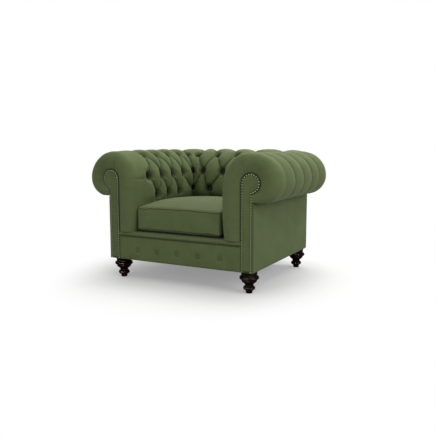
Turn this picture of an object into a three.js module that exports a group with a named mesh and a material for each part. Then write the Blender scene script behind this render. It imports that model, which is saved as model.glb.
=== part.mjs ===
// A rolled-arm club chair with deep-buttoned arms and back, a loose box cushion and turned feet.
// Millimetres, +Z up, +X to the sitter's left as seen from the front, +Y to the back.
// The origin is on the floor, under the middle of the chair.
import * as THREE from 'three';

// Running gaps
const fitGap = 0.3;
const mitreGap = 0.5;
const openingGap = 1;
const curvedSeatGap = 0.8;

// Body
const seatWidth = 566;
const insideDepth = 660;
const armThickness = 170;
const bodyBottom = 118;
const seatLevel = 277;
const cornerRadius = 30;

// Arm and back roll section
const rollRadius = 154;
const rollCentreHeight = 576;
const underRollRadius = 100;
const padThickness = 45;
const wallCrown = 9;
const wallCrownRise = 44;
const frontRound = 45;
const padProud = 8;
const faceDip = 3;
const armCorner = Math.PI / 2;
const mitreAngle = armCorner / 2;

// Deep buttoning
const tuftFirstRow = 208;
const tuftRowSpacing = 113;
const armTuftFirst = 144;
const armTuftColumns = 4;
const lastTuftToCorner = 54;
const backTuftReach = 2;
const backTuftToCorner = 23;
const puffShoulder = 60;
const foldDepth = 14;
const buttonDepth = 26;
const buttonPull = 34;
const endFold = 81;
const endFoldShare = 0.45;

// Arm facing and its row of nail heads
const stemWidth = 59;
const lobeRadius = 51;
const lobeDrop = 3;
const facingInset = 100;
const facingThickness = 12;
const facingProud = 3;
const facingBevel = 2;
const nailEdge = 0.5;
const nailWidth = 9;
const nailHeight = 2.5;

// Timber frame
const postThickness = 43;
const railThickness = 22;
const frontRailDrop = 41;
const crossRailAboveBlock = 4.7;
const crossRailBehindSeat = 40;
const panelThickness = 10.7;
const blockHeight = 40;
const blockLeg = 110;
const rearPostInset = 75;
const rearPostSize = 36.5;
const rearPostRise = 84;
const topRailFromWall = 90;
const topRailRise = 4;
const tackRailWidth = 80;
const tackRailAboveSeat = 23;
const outerTackRailDrop = 76;
const outerTackRailHeight = 60;

// Seat
const deckThickness = 25;
const lipThickness = 23;
const lipProud = 4;
const lipNose = 9;
const welt = 4.4;
const borderThickness = 16;
const borderRim = 3;
const borderButtonCount = 5;
const borderButtonPitch = 130;
const borderButtonHeight = 178;
const borderButtonRadius = 11;
const borderButtonDome = 5;
const borderDimple = 4;
const borderDimpleRadius = 30;
const springCount = 4;
const springPitch = 150;
const springWire = 3.4;
const springHalfWidth = 24;
const springWaves = 8;

// Loose cushion
const cushionWidth = 532;
const cushionFromFront = 9;
const cushionToBack = 24;
const cushionSeamRise = 18;
const cushionBoxing = 122;
const cushionRestShare = 0.72;
const cushionEdgeRise = 24;
const cushionCrown = 19;
const cushionPullIn = 5;
const cushionBulge = 4;
const cushionCorner = 20;
const zipLength = 380;
const zipWidth = 24;
const zipThickness = 1.2;
const zipAboveSeat = 78;
const zipPullLength = 14;
const zipPullWidth = 9;
const zipPullThickness = 4;

// Feet
const footRadius = 51.5;
const footFromSide = 51;
const footFromFront = 62;
const footFromBack = 64;
const boltRadius = 4;
const boltLength = 83;
const boltDepth = 43;
const dustCoverThickness = 1.7;

// Places that follow from the sizes above
const seatHalf = seatWidth / 2;
const armTuftPitch = (insideDepth - armTuftFirst - lastTuftToCorner) / (armTuftColumns - 1 / 2);
const backTuftPitch = (seatHalf - backTuftToCorner) / backTuftReach;
const wallCrownTop = rollCentreHeight + wallCrownRise;
const cushionDepth = insideDepth - cushionFromFront - cushionToBack;
const cushionSeamLow = seatLevel + cushionSeamRise;
const cushionSeamHigh = cushionSeamLow + cushionBoxing;
const zipHeight = seatLevel + zipAboveSeat;
const frontRailTop = seatLevel - frontRailDrop;
const topRailBottom = rollCentreHeight + topRailRise;
const rearPostTop = rollCentreHeight + rearPostRise;
const tackRailBottom = seatLevel + tackRailAboveSeat;
const outerTackRailTop = rollCentreHeight - outerTackRailDrop;
const outerTackRailBottom = outerTackRailTop - outerTackRailHeight;
const rollReach = 2 * rollRadius;
const overallDepth = padProud + insideDepth + rollReach;
const frontPlane = padProud - overallDepth / 2;
const cornerY = frontPlane + insideDepth;
const bodyHalf = seatHalf + armThickness;
const bodyBack = cornerY + armThickness;
const underRollInset = rollReach - underRollRadius;
const frameInset = armThickness - panelThickness - fitGap;
const frameBottom = bodyBottom + 2 * fitGap + dustCoverThickness;
const crossRailBottom = frameBottom + blockHeight + crossRailAboveBlock;
const crossRailFront = cornerY + crossRailBehindSeat;
const facingInner = seatHalf + facingInset;
const lobeInset = facingInset + lobeRadius;
const lobeHeight = rollCentreHeight - lobeDrop;
const postFront = frontPlane + facingThickness - facingProud + fitGap;
const postBack = postFront + postThickness;
const deckBottom = seatLevel - fitGap - deckThickness;
const frontRailFront = frontPlane + borderThickness + fitGap;
const railInner = frameInset - railThickness;
const railChamfer = cornerRadius - panelThickness;
const cushionHalf = cushionWidth / 2;
const cushionHalfDepth = cushionDepth / 2;
const cushionMiddle = frontPlane + cushionFromFront + cushionHalfDepth;

// Finishes
const fabric = { color: '#58643f', roughness: 0.85, metalness: 0 };
const fabricDark = { color: '#4b5636', roughness: 0.85, metalness: 0 };
const espresso = { color: '#1b120c', roughness: 0.18, metalness: 0 };
const timber = { color: '#a98558', roughness: 0.7, metalness: 0 };
const agedBrass = { color: '#6b5a35', roughness: 0.4, metalness: 0.9 };
const steel = { color: '#8d9094', roughness: 0.35, metalness: 1 };
const cambric = { color: '#151515', roughness: 0.95, metalness: 0 };
const zipTape = { color: '#3b432c', roughness: 0.8, metalness: 0 };

const chair = new THREE.Group();

function addPiece(name, geometry, finish) {
  const mesh = new THREE.Mesh(geometry, new THREE.MeshStandardMaterial(finish));
  mesh.name = name;
  chair.add(mesh);
  return mesh;
}

// Shape helpers: a block between two corners, and outlines pushed along an axis
function block(low, high) {
  const geometry = new THREE.BoxGeometry(high[0] - low[0], high[1] - low[1], high[2] - low[2]);
  geometry.translate((low[0] + high[0]) / 2, (low[1] + high[1]) / 2, (low[2] + high[2]) / 2);
  return geometry;
}

function outline(points) {
  return new THREE.Shape(points.map((p) => new THREE.Vector2(p[0], p[1])));
}

function upFromPlan(shape, bottom, top) {
  const geometry = new THREE.ExtrudeGeometry(shape, { depth: top - bottom, bevelEnabled: false });
  geometry.translate(0, 0, bottom);
  return geometry;
}

function alongDepth(shape, front, back, bevel) {
  const settings = { depth: back - front - 2 * bevel, bevelEnabled: bevel > 0, bevelSegments: 1 };
  Object.assign(settings, { bevelThickness: bevel, bevelSize: bevel, bevelOffset: -bevel });
  const geometry = new THREE.ExtrudeGeometry(shape, settings);
  geometry.rotateX(Math.PI / 2);
  geometry.translate(0, back - bevel, 0);
  return geometry;
}

function alongWidth(shape, left, right) {
  const geometry = new THREE.ExtrudeGeometry(shape, { depth: right - left, bevelEnabled: false });
  const turn = new THREE.Matrix4();
  turn.makeBasis(new THREE.Vector3(0, 1, 0), new THREE.Vector3(0, 0, 1), new THREE.Vector3(1, 0, 0));
  geometry.applyMatrix4(turn);
  geometry.translate(left, 0, 0);
  return geometry;
}

function lerp(a, b, share) {
  return a + (b - a) * share;
}

// Six times the volume that the faces enclose, below zero where they point inwards
function signedVolume(positions, faces) {
  const corner = (k) => new THREE.Vector3(positions[3 * k], positions[3 * k + 1], positions[3 * k + 2]);
  return faces.reduce((sum, f) => sum + corner(f[0]).dot(corner(f[1]).cross(corner(f[2]))), 0);
}

// Turns a list of closed loops into one closed body. cap lists the triangles that close the two
// end loops, each running the way the loop runs; side -1 mirrors the body.
function skinLoops(loops, cap, side) {
  const size = loops[0].length;
  const positions = loops.flat().flatMap((p) => [side * p[0], p[1], p[2]]);
  const faces = [];
  for (let row = 0; row + 1 < loops.length; row += 1) {
    for (let k = 0; k < size; k += 1) {
      const a = row * size + k;
      const b = row * size + ((k + 1) % size);
      faces.push([a, b, b + size], [a, b + size, a + size]);
    }
  }
  const last = (loops.length - 1) * size;
  for (const [a, b, c] of cap) {
    faces.push([a, c, b], [last + a, last + b, last + c]);
  }
  const flip = signedVolume(positions, faces) < 0;
  const index = faces.flatMap((f) => (flip ? [f[0], f[2], f[1]] : f));
  const geometry = new THREE.BufferGeometry();
  geometry.setAttribute('position', new THREE.Float32BufferAttribute(positions, 3));
  geometry.setIndex(index);
  return geometry;
}

// A cap between an outer chain of loop points and the hollow's chain, both walked the same way.
// reachOf says how far along the walk each point lies.
function zipCap(outer, hollow, reachOf) {
  const cap = [];
  let i = 0;
  let j = 0;
  while (i + 1 < outer.length || j + 1 < hollow.length) {
    const hollowDone = j + 1 === hollow.length;
    const isNearer = hollowDone || reachOf[outer[i + 1]] <= reachOf[hollow[j + 1]];
    const outerNext = i + 1 < outer.length && isNearer;
    cap.push(outerNext ? [outer[i], outer[i + 1], hollow[j]] : [outer[i], hollow[j + 1], hollow[j]]);
    i += Number(outerNext);
    j += Number(!outerNext);
  }
  return cap;
}

function fanCap(hub, rim) {
  return rim.slice(1).map((k, step) => [hub, rim[step], k]);
}

function countUp(from, count) {
  return Array.from({ length: count }, (_, k) => from + k);
}

// The roll section, as an inset from the inner wall and a height, walked by its arc length:
// up the inner wall, over the big roll, round the smaller underside and back to the body.
const wallLength = rollCentreHeight - seatLevel;
const rollLength = Math.PI * rollRadius;
const underLength = (Math.PI / 2) * underRollRadius;
const sectionEndInset = armThickness - panelThickness + fitGap / 2;
const flatLength = underRollInset - sectionEndInset;
const sectionLength = wallLength + rollLength + underLength + flatLength;

function sectionPoint(along) {
  const overRoll = along - wallLength;
  const overUnder = overRoll - rollLength;
  const overFlat = overUnder - underLength;
  const cavityRoll = rollRadius - padThickness;
  const cavityUnder = underRollRadius - padThickness;
  const openRadius = lobeRadius + openingGap;
  const neckTurn = Math.acos((stemWidth - lobeRadius + openingGap) / openRadius);
  const onLobe = (turn) => [openRadius * Math.cos(turn), openRadius * Math.sin(turn)];
  const lobeAt = (turn) => [lobeInset + onLobe(turn)[0], lobeHeight + onLobe(turn)[1]];
  if (overRoll < 0) {
    const height = seatLevel + along;
    const bulge = wallCrown * Math.sin((Math.PI * along) / (wallCrownTop - seatLevel));
    const openHeight = lerp(seatLevel, lobeHeight, along / wallLength);
    const edge = [facingInset - openingGap, openHeight];
    return { skin: [-bulge, height], out: [-1, 0], cavity: [padThickness, height], edge };
  }
  if (overUnder < 0) {
    const turn = Math.PI - overRoll / rollRadius;
    const out = [Math.cos(turn), Math.sin(turn)];
    const crownEnd = wallCrownTop - seatLevel;
    const fade = Math.sin((Math.PI * along) / crownEnd);
    const radius = rollRadius + wallCrown * Math.max(fade, 0) * Number(along < crownEnd);
    const onRoll = (size) => [rollRadius + size * out[0], rollCentreHeight + size * out[1]];
    const skin = onRoll(radius);
    const cavity = onRoll(cavityRoll);
    return { skin, out, cavity, edge: lobeAt(turn) };
  }
  if (overFlat < 0) {
    const share = overUnder / underLength;
    const turn = (-Math.PI / 2) * share;
    const out = [Math.cos(turn), Math.sin(turn)];
    const underRoll = (size) => [underRollInset + size * out[0], rollCentreHeight + size * out[1]];
    const skin = underRoll(underRollRadius);
    const cavity = underRoll(cavityUnder);
    return { skin, out, cavity, edge: lobeAt(-neckTurn * share) };
  }
  const inset = underRollInset - overFlat;
  const cavity = [inset, rollCentreHeight - cavityUnder];
  const skin = [inset, rollCentreHeight - underRollRadius];
  return { skin, out: [0, -1], cavity, edge: lobeAt(-neckTurn) };
}

// Heights along the section where the buttons sit, and the rows of points of the mesh
const rowLow = tuftFirstRow;
const rowMid = tuftFirstRow + tuftRowSpacing;
const rowHigh = tuftFirstRow + 2 * tuftRowSpacing;

function sectionStations() {
  const rowSteps = 4;
  const firstStep = -2;
  const lastStep = 10;
  const rollSteps = 7;
  const underSteps = 5;
  const stations = [0, tuftFirstRow * (1 / 3)];
  for (let k = firstStep; k <= lastStep; k += 1) {
    stations.push(tuftFirstRow + (k * tuftRowSpacing) / rowSteps);
  }
  const lastRow = stations[stations.length - 1];
  const rollEnd = wallLength + rollLength;
  for (let k = 1; k <= rollSteps; k += 1) {
    stations.push(lerp(lastRow, rollEnd, k / rollSteps));
  }
  for (let k = 1; k <= underSteps; k += 1) {
    stations.push(rollEnd + (underLength * k) / underSteps);
  }
  stations.push(sectionLength);
  return stations;
}

// Folds between buttons: a diamond net over three rows, then channels up over the roll
// and down to the seat. Each fold is a line in the unrolled surface.
function tuftPattern(outerColumns, middleColumns) {
  const folds = [];
  const buttons = [];
  for (const u of outerColumns) {
    folds.push({ from: [u, 0], to: [u, rowLow], share: 1 });
    folds.push({ from: [u, rowHigh], to: [u, sectionLength], share: 1 });
    buttons.push([u, rowLow], [u, rowHigh]);
    for (const m of middleColumns) {
      if (Math.abs(m - u) < armTuftPitch * (3 / 4)) {
        folds.push({ from: [m, rowMid], to: [u, rowLow], share: 1 });
        folds.push({ from: [m, rowMid], to: [u, rowHigh], share: 1 });
      }
    }
  }
  for (const m of middleColumns) {
    buttons.push([m, rowMid]);
  }
  return { folds, buttons };
}

function distanceToFold(u, v, fold) {
  const du = fold.to[0] - fold.from[0];
  const dv = fold.to[1] - fold.from[1];
  const along = ((u - fold.from[0]) * du + (v - fold.from[1]) * dv) / (du * du + dv * dv);
  const share = Math.min(Math.max(along, 0), 1);
  return Math.hypot(u - fold.from[0] - share * du, v - fold.from[1] - share * dv);
}

function puffCurve(distance, shoulder) {
  const share = Math.min(distance / shoulder, 1);
  return 1 - Math.sqrt(1 - (1 - share) ** 2);
}

// How far the covering is drawn in below the puffs at one place
function drawnIn(pattern, u, v, mitreDistance) {
  let depth = foldDepth * puffCurve(mitreDistance, puffShoulder);
  for (const fold of pattern.folds) {
    depth = Math.max(depth, fold.share * foldDepth * puffCurve(distanceToFold(u, v, fold), puffShoulder));
  }
  for (const [bu, bv] of pattern.buttons) {
    depth = Math.max(depth, buttonDepth * puffCurve(Math.hypot(u - bu, v - bv), buttonPull));
  }
  const toEnd = (sectionLength - v) / (flatLength + underLength);
  return depth * Math.min(toEnd, 1);
}

// A place along the arms or the back: where it stands on the inner wall line, and which way
// its inset points. past is the angle already turned round the rear corner.
function armStation(along) {
  const toCorner = insideDepth - along;
  return { x: seatHalf, y: frontPlane + along, way: [1, 0], along, past: 0, toCorner };
}

function cornerStation(angle, along, past) {
  return { x: seatHalf, y: cornerY, way: [Math.cos(angle), Math.sin(angle)], along, past, toCorner: 0 };
}

function backStation(across) {
  const toCorner = seatHalf - Math.abs(across);
  return { x: across, y: cornerY, way: [0, 1], along: across, past: 0, toCorner };
}

function standAt(station, inset, height) {
  return [station.x + inset * station.way[0], station.y + inset * station.way[1], height];
}

function tuftedPoint(station, along, pattern) {
  const { skin, out } = sectionPoint(along);
  const reach = Math.max(skin[0], 0);
  const u = station.along + Math.sign(station.along) * reach * station.past;
  const toMitre = station.toCorner + reach * (mitreAngle - station.past);
  const depth = drawnIn(pattern, u, along, toMitre);
  return standAt(station, skin[0] - depth * out[0], skin[1] - depth * out[1]);
}

// How far the soft front end falls back from its proudest ring, from the roll (0) to the facing (1)
function faceFall(share) {
  const half = 2 * share - 1;
  const rounded = (frontRound + padProud) * (1 - Math.sqrt(1 - half * half));
  return half < 0 ? rounded : (faceDip + padProud) * half * half;
}

const cornerShares = [1, 2 / 3, 1 / 3];

// One arm: a tufted skin, a soft front end round the facing, and the hollow for its frame
function armRoll(side) {
  const outer = Array.from({ length: armTuftColumns }, (_, k) => armTuftFirst + (k + 1 / 2) * armTuftPitch);
  const middle = Array.from({ length: armTuftColumns }, (_, k) => armTuftFirst + k * armTuftPitch);
  const pattern = tuftPattern(outer, middle);
  pattern.folds.push({ from: [insideDepth, rowMid], to: [outer[armTuftColumns - 1], rowLow], share: 1 });
  pattern.folds.push({ from: [insideDepth, rowMid], to: [outer[armTuftColumns - 1], rowHigh], share: 1 });
  const rollTop = wallLength + rollLength / 2;
  pattern.folds.push({ from: [endFold, rollTop], to: [endFold, sectionLength], share: endFoldShare });
  const stations = cornerShares.map((s) => cornerStation(s * mitreAngle, insideDepth, s * mitreAngle));
  stations.push(armStation(insideDepth));
  const quarter = armTuftPitch / 4;
  const quarterCount = Math.floor((insideDepth - quarter / 2 - armTuftFirst) / quarter);
  for (let k = quarterCount; k >= -2; k -= 1) {
    stations.push(armStation(armTuftFirst + k * quarter));
  }
  stations.push(armStation(frontRound));
  const faceShares = [0.05, 0.18, 0.34, 0.5, 0.75, 1];
  const hollowShares = [0, 1 / 2, 1];
  const loops = sectionStations().map((along) => {
    const loop = stations.map((station) => tuftedPoint(station, along, pattern));
    const { cavity, edge } = sectionPoint(along);
    const rim = loop[loop.length - 1];
    const edgePoint = standAt(armStation(0), edge[0], edge[1]);
    for (const share of faceShares) {
      const y = frontPlane - padProud + faceFall(share);
      loop.push([lerp(rim[0], edgePoint[0], share), y, lerp(rim[2], edgePoint[2], share)]);
    }
    loop.push([edgePoint[0], postBack, edgePoint[2]]);
    loop.push([seatHalf + cavity[0], postBack, cavity[1]]);
    for (const share of hollowShares) {
      loop.push(standAt(cornerStation(share * mitreAngle, insideDepth, 0), cavity[0], cavity[1]));
    }
    loop[0][1] -= mitreGap;
    loop[loop.length - 1][1] -= mitreGap;
    return loop;
  });
  const shoulder = stations.length - 1;
  const hollowFront = shoulder + faceShares.length + 2;
  const hollow = countUp(hollowFront, hollowShares.length + 1).reverse();
  const reachOf = stations.map((s) => -(s.along + s.past * rollRadius));
  reachOf[hollowFront] = -(postBack - frontPlane);
  hollowShares.forEach((s, k) => {
    reachOf[hollowFront + 1 + k] = -(insideDepth + s * mitreAngle * rollRadius);
  });
  const cap = zipCap(countUp(0, stations.length), hollow, reachOf);
  cap.push(...fanCap(hollowFront, countUp(shoulder, faceShares.length + 2)));
  return skinLoops(loops, cap, side);
}

// The back, between the two mitres at the corners
function backRoll() {
  const steps = Array.from({ length: 2 * backTuftReach + 1 }, (_, k) => k - backTuftReach);
  const outer = steps.map((k) => k * backTuftPitch);
  const middle = steps.slice(1).map((k) => (k - 1 / 2) * backTuftPitch);
  const pattern = tuftPattern(outer, middle);
  const halfStations = cornerShares.map((s) => {
    return cornerStation(armCorner - s * mitreAngle, seatHalf, s * mitreAngle);
  });
  halfStations.push(backStation(seatHalf));
  const quarter = backTuftPitch / 4;
  const quarterCount = Math.floor((seatHalf - quarter / 2) / quarter);
  for (let k = quarterCount; k >= 1; k -= 1) {
    halfStations.push(backStation(k * quarter));
  }
  const mirrored = halfStations.slice().reverse();
  const hollowShares = [1, 1 / 2, 0];
  const loops = sectionStations().map((along) => {
    const right = halfStations.map((station) => tuftedPoint(station, along, pattern));
    const left = mirrored.map((station) => {
      const p = tuftedPoint(station, along, pattern);
      return [-p[0], p[1], p[2]];
    });
    const { cavity } = sectionPoint(along);
    const hollow = hollowShares.map((s) => {
      return standAt(cornerStation(armCorner - s * mitreAngle, seatHalf, 0), cavity[0], cavity[1]);
    });
    const hollowLeft = hollow.map((p) => [-p[0], p[1], p[2]]);
    const middlePoint = tuftedPoint(backStation(0), along, pattern);
    return [...right, middlePoint, ...left, ...hollowLeft, ...hollow.reverse()];
  });
  const outerReach = halfStations.map((s) => -(s.along + s.past * rollRadius));
  const hollowReach = hollowShares.map((s) => -(seatHalf + s * mitreAngle * rollRadius));
  const reachOf = [...outerReach, 0, ...outerReach.map((r) => -r).reverse()];
  const outerCount = reachOf.length;
  reachOf.push(...hollowReach.map((r) => -r), ...hollowReach.reverse());
  const hollowChain = countUp(outerCount, 2 * hollowShares.length).reverse();
  const cap = zipCap(countUp(0, outerCount), hollowChain, reachOf);
  return skinLoops(loops, cap, 1);
}

// Keyhole outline of the arm facing: a straight stem under a round lobe, drawn in by inset
function keyholePath(inset, bottom) {
  const radius = lobeRadius - inset;
  const centre = facingInner + lobeRadius;
  const outerEdge = facingInner + stemWidth - inset;
  const neck = -Math.acos((outerEdge - centre) / radius);
  const steps = 16;
  const points = [[facingInner + inset, bottom]];
  for (let k = 0; k <= steps; k += 1) {
    const turn = lerp(Math.PI, neck, k / steps);
    points.push([centre + radius * Math.cos(turn), lobeHeight + radius * Math.sin(turn)]);
  }
  points.push([outerEdge, bottom]);
  return points;
}

function mirrorPoints(points, side) {
  return points.map((p) => [side * p[0], p[1]]);
}

function nailBand(side) {
  const band = [...keyholePath(nailEdge, bodyBottom + nailEdge)];
  band.push(...keyholePath(nailEdge + nailWidth, bodyBottom + nailEdge).reverse());
  const front = frontPlane - facingProud - fitGap;
  return alongDepth(outline(mirrorPoints(band, side)), front - nailHeight, front, 0);
}

// Corner block: a triangle in the corner of the rails, notched round a post, drilled for the bolt
function cornerBlock(side, innerY, towardMiddle, footY, notch) {
  const outerX = seatHalf + railInner - fitGap;
  const points = [[outerX, innerY + towardMiddle * notch]];
  if (notch > 0) {
    points.push([facingInner - fitGap, innerY + towardMiddle * notch], [facingInner - fitGap, innerY]);
  } else {
    points.push([outerX - railThickness, innerY]);
  }
  points.push([outerX - blockLeg, innerY], [outerX, innerY + towardMiddle * (blockLeg + notch)]);
  const shape = outline(mirrorPoints(points, side));
  const hole = new THREE.Path();
  hole.absarc(side * (bodyHalf - footFromSide), footY, boltRadius + fitGap, 0, 2 * Math.PI);
  shape.holes.push(hole);
  const settings = { depth: blockHeight, bevelEnabled: false, curveSegments: 8 };
  const geometry = new THREE.ExtrudeGeometry(shape, settings);
  geometry.translate(0, 0, frameBottom);
  return geometry;
}

// Side rail in plan, its rear outer corner cut back for the rounded back corner
function sideRailPlan(side) {
  const outer = seatHalf + frameInset;
  const rear = cornerY + frameInset;
  const points = [[outer - railThickness, postBack + fitGap], [outer, postBack + fitGap]];
  points.push([outer, rear - railChamfer], [outer - railChamfer, rear], [outer - railThickness, rear]);
  return outline(mirrorPoints(points, side));
}

// Back panel in plan: a shallow U with rounded corners that meets the two arm panels
function backPanelPlan() {
  const turns = [0, 1 / 4, 1 / 2, 3 / 4, 1];
  const centreX = bodyHalf - cornerRadius;
  const centreY = bodyBack - cornerRadius;
  const arc = (radius) => turns.map((t) => {
    const angle = (t * Math.PI) / 2;
    return [centreX + radius * Math.cos(angle), centreY + radius * Math.sin(angle)];
  });
  const outer = arc(cornerRadius);
  const inner = arc(cornerRadius - panelThickness);
  const outerLeft = mirrorPoints(outer, -1).reverse();
  const innerLeft = mirrorPoints(inner, -1);
  return outline([...outer, ...outerLeft, ...innerLeft, ...inner.reverse()]);
}

// Front border: a thin padded board whose face dimples in under each button
function frontBorder() {
  const halfWidth = facingInner - fitGap;
  const top = seatLevel - fitGap - lipThickness - welt;
  const floorHalf = borderButtonRadius + borderRim / 3;
  const floorRadius = floorHalf * Math.SQRT2;
  const steps = [-borderDimpleRadius, -floorHalf, floorHalf, borderDimpleRadius];
  const buttons = borderButtonPlaces();
  const columns = buttons.flatMap(([x]) => steps.map((step) => x + step));
  const xs = [-halfWidth, borderRim - halfWidth, ...columns, halfWidth - borderRim, halfWidth];
  const rows = steps.map((step) => borderButtonHeight + step);
  const zs = [bodyBottom, bodyBottom + borderRim, ...rows, top - borderRim, top];
  const loops = xs.map((x) => {
    const loop = zs.map((z) => {
      const toEdge = Math.min(halfWidth - Math.abs(x), top - z, z - bodyBottom);
      let depth = borderRim * Math.max(1 - toEdge / borderRim, 0);
      for (const [bx, bz] of buttons) {
        const past = Math.max(Math.hypot(x - bx, z - bz) - floorRadius, 0);
        depth = Math.max(depth, borderDimple * puffCurve(past, borderDimpleRadius));
      }
      return [x, frontPlane + depth, z];
    });
    loop.push([x, frontPlane + borderThickness, top], [x, frontPlane + borderThickness, bodyBottom]);
    return loop;
  });
  return skinLoops(loops, fanCap(zs.length, [zs.length + 1, ...countUp(0, zs.length)]), 1);
}

function borderButtonPlaces() {
  const middle = (borderButtonCount - 1) / 2;
  const placeOf = (k) => [(k - middle) * borderButtonPitch, borderButtonHeight];
  return countUp(0, borderButtonCount).map(placeOf);
}

// Covered button: a low dome on a flat back
function coveredButton(x, z) {
  const profileShares = [[0, 0], [1, 0], [0.96, 0.4], [0.7, 0.82], [0.35, 1], [0, 1]];
  const pointOf = ([r, h]) => new THREE.Vector2(r * borderButtonRadius, h * borderButtonDome);
  const points = profileShares.map(pointOf);
  const geometry = new THREE.LatheGeometry(points, 12);
  geometry.rotateX(Math.PI);
  geometry.translate(x, frontPlane + borderDimple - fitGap, z);
  return geometry;
}

// Front lip: a slim roll between the two facings, its nose rounded
function lipRoll() {
  const bottom = seatLevel - fitGap - lipThickness;
  const top = seatLevel - fitGap;
  const front = frontPlane - lipProud;
  const points = [[postBack, bottom], [postBack, top]];
  const steps = 5;
  for (let k = 0; k <= steps; k += 1) {
    const turn = (k / steps) * Math.PI;
    const z = (bottom + top) / 2 + (lipThickness / 2) * Math.cos(turn);
    points.push([front + lipNose * (1 - Math.sin(turn)), z]);
  }
  return alongWidth(outline(points.reverse()), -(facingInner - fitGap), facingInner - fitGap);
}

function weltCord() {
  const circle = new THREE.Shape();
  circle.absarc(0, 0, welt / 2 - fitGap, 0, 2 * Math.PI);
  const settings = { depth: 2 * (facingInner - fitGap), bevelEnabled: false, curveSegments: 5 };
  const geometry = new THREE.ExtrudeGeometry(circle, settings);
  geometry.rotateY(Math.PI / 2);
  const height = seatLevel - fitGap - lipThickness - welt / 2;
  geometry.translate(-(facingInner - fitGap), frontPlane + welt / 2, height);
  return geometry;
}

// Serpentine seat spring: one wire waved from rail to rail, with a slight upward crown
function seatSpring(x) {
  const startY = frontRailFront + railThickness / 2;
  const endY = crossRailFront + railThickness / 2;
  const low = frontRailTop + fitGap + springWire / 2;
  const high = deckBottom - fitGap - springWire / 2;
  const stepsPerWave = 6;
  const points = [];
  for (let k = 0; k <= springWaves * stepsPerWave; k += 1) {
    const share = k / (springWaves * stepsPerWave);
    const swing = Math.cos((2 * Math.PI * k) / stepsPerWave);
    const lift = Math.sin(Math.PI * share);
    const across = x + springHalfWidth * swing;
    points.push(new THREE.Vector3(across, lerp(startY, endY, share), lerp(low, high, lift)));
  }
  const corners = [[-1, -1], [1, -1], [1, 1], [-1, 1]];
  const section = outline(corners.map((p) => p.map((c) => (c * springWire) / 2)));
  const path = new THREE.CatmullRomCurve3(points);
  const settings = { steps: points.length - 1, extrudePath: path, bevelEnabled: false };
  return new THREE.ExtrudeGeometry(section, settings);
}

// Loose box cushion: a squared plan drawn in along its front and sides, held straight at the
// back by the zip, with a crowned top and a flat patch where it rests. Each plan point has the
// way it moves when the side swells, and how much of the swell it takes.
function cushionPlan() {
  const sides = [[1, 0], [0, 1], [-1, 0], [0, -1]];
  const half = [cushionHalf - cushionCorner, cushionHalfDepth - cushionCorner];
  const sideSteps = 8;
  const cornerSteps = 3;
  return sides.flatMap(([nx, ny]) => {
    const reach = nx === 0 ? half[0] : half[1];
    const centre = [nx * half[0], ny * half[1]];
    const isBack = ny > 0;
    const along = countUp(0, sideSteps + 1).map((k) => {
      const share = (2 * k) / sideSteps - 1;
      const x = centre[0] + nx * cushionCorner - ny * share * reach;
      const y = centre[1] + ny * cushionCorner + nx * share * reach;
      return { x, y, way: [nx, ny], swell: isBack ? 0 : 1 - share * share };
    });
    const corner = countUp(1, cornerSteps - 1).map((k) => {
      const turn = (Math.PI / 2) * (k / cornerSteps);
      const way = [nx * Math.cos(turn) - ny * Math.sin(turn), ny * Math.cos(turn) + nx * Math.sin(turn)];
      const cornerX = centre[0] - ny * half[0] + cushionCorner * way[0];
      const cornerY0 = centre[1] + nx * half[1] + cushionCorner * way[1];
      return { x: cornerX, y: cornerY0, way, swell: 0 };
    });
    return [...along, ...corner];
  });
}

function cushionTop(x, y) {
  const acrossShare = x / cushionHalf;
  const alongShare = y / cushionHalfDepth;
  const edge = cushionEdgeRise * (1 - alongShare * alongShare);
  return cushionSeamHigh + edge + cushionCrown * (1 - acrossShare * acrossShare) * (1 - alongShare ** 4);
}

function seatCushion() {
  const plan = cushionPlan();
  const ringOf = (scale, swell, heightAt) => plan.map((p) => {
    const x = scale * (p.x + p.way[0] * p.swell * (swell - cushionPullIn));
    const y = scale * (p.y + p.way[1] * p.swell * (swell - cushionPullIn));
    return [x, cushionMiddle + y, heightAt(x, y)];
  });
  const loops = [ringOf(cushionRestShare, 0, () => seatLevel)];
  loops.push(ringOf((1 + cushionRestShare) / 2, 0, () => lerp(seatLevel, cushionSeamLow, 1 / 3)));
  loops.push(ringOf(1, 0, () => cushionSeamLow));
  for (const share of [0.25, 0.5, 0.75]) {
    const swell = cushionBulge * Math.sin(Math.PI * share);
    loops.push(ringOf(1, swell, (x, y) => lerp(cushionSeamLow, cushionTop(x, y), share)));
  }
  for (const scale of [1, 0.95, 0.84, 0.68, 0.48, 0.26, 0.08]) {
    loops.push(ringOf(scale, 0, cushionTop));
  }
  return skinLoops(loops, fanCap(0, countUp(1, plan.length - 1)), 1);
}

// Turned foot, drilled from above for its bolt. Shares of the radius and of the height.
function turnedFoot(x, y) {
  const profileShares = [
    [0, 0], [0.31, 0], [0.36, 0.035], [0.37, 0.11], [0.5, 0.157], [0.621, 0.237], [0.5, 0.317],
    [0.427, 0.356], [0.456, 0.403], [0.573, 0.453], [0.748, 0.517], [0.806, 0.6], [0.961, 0.64],
    [1, 0.69], [0.961, 0.74], [0.806, 0.83], [0.806, 1],
  ];
  const points = profileShares.map(([r, h]) => new THREE.Vector2(r * footRadius, h * bodyBottom));
  points.push(new THREE.Vector2(boltRadius + fitGap, bodyBottom));
  points.push(new THREE.Vector2(boltRadius + fitGap, bodyBottom - boltDepth));
  points.push(new THREE.Vector2(0, bodyBottom - boltDepth));
  const geometry = new THREE.LatheGeometry(points, 14);
  geometry.rotateX(Math.PI / 2);
  geometry.translate(x, y, 0);
  return geometry;
}

function hangerBolt(x, y) {
  const geometry = new THREE.CylinderGeometry(boltRadius, boltRadius, boltLength - fitGap, 8);
  geometry.rotateX(Math.PI / 2);
  geometry.translate(x, y, bodyBottom - boltDepth + fitGap + (boltLength - fitGap) / 2);
  return geometry;
}

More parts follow.
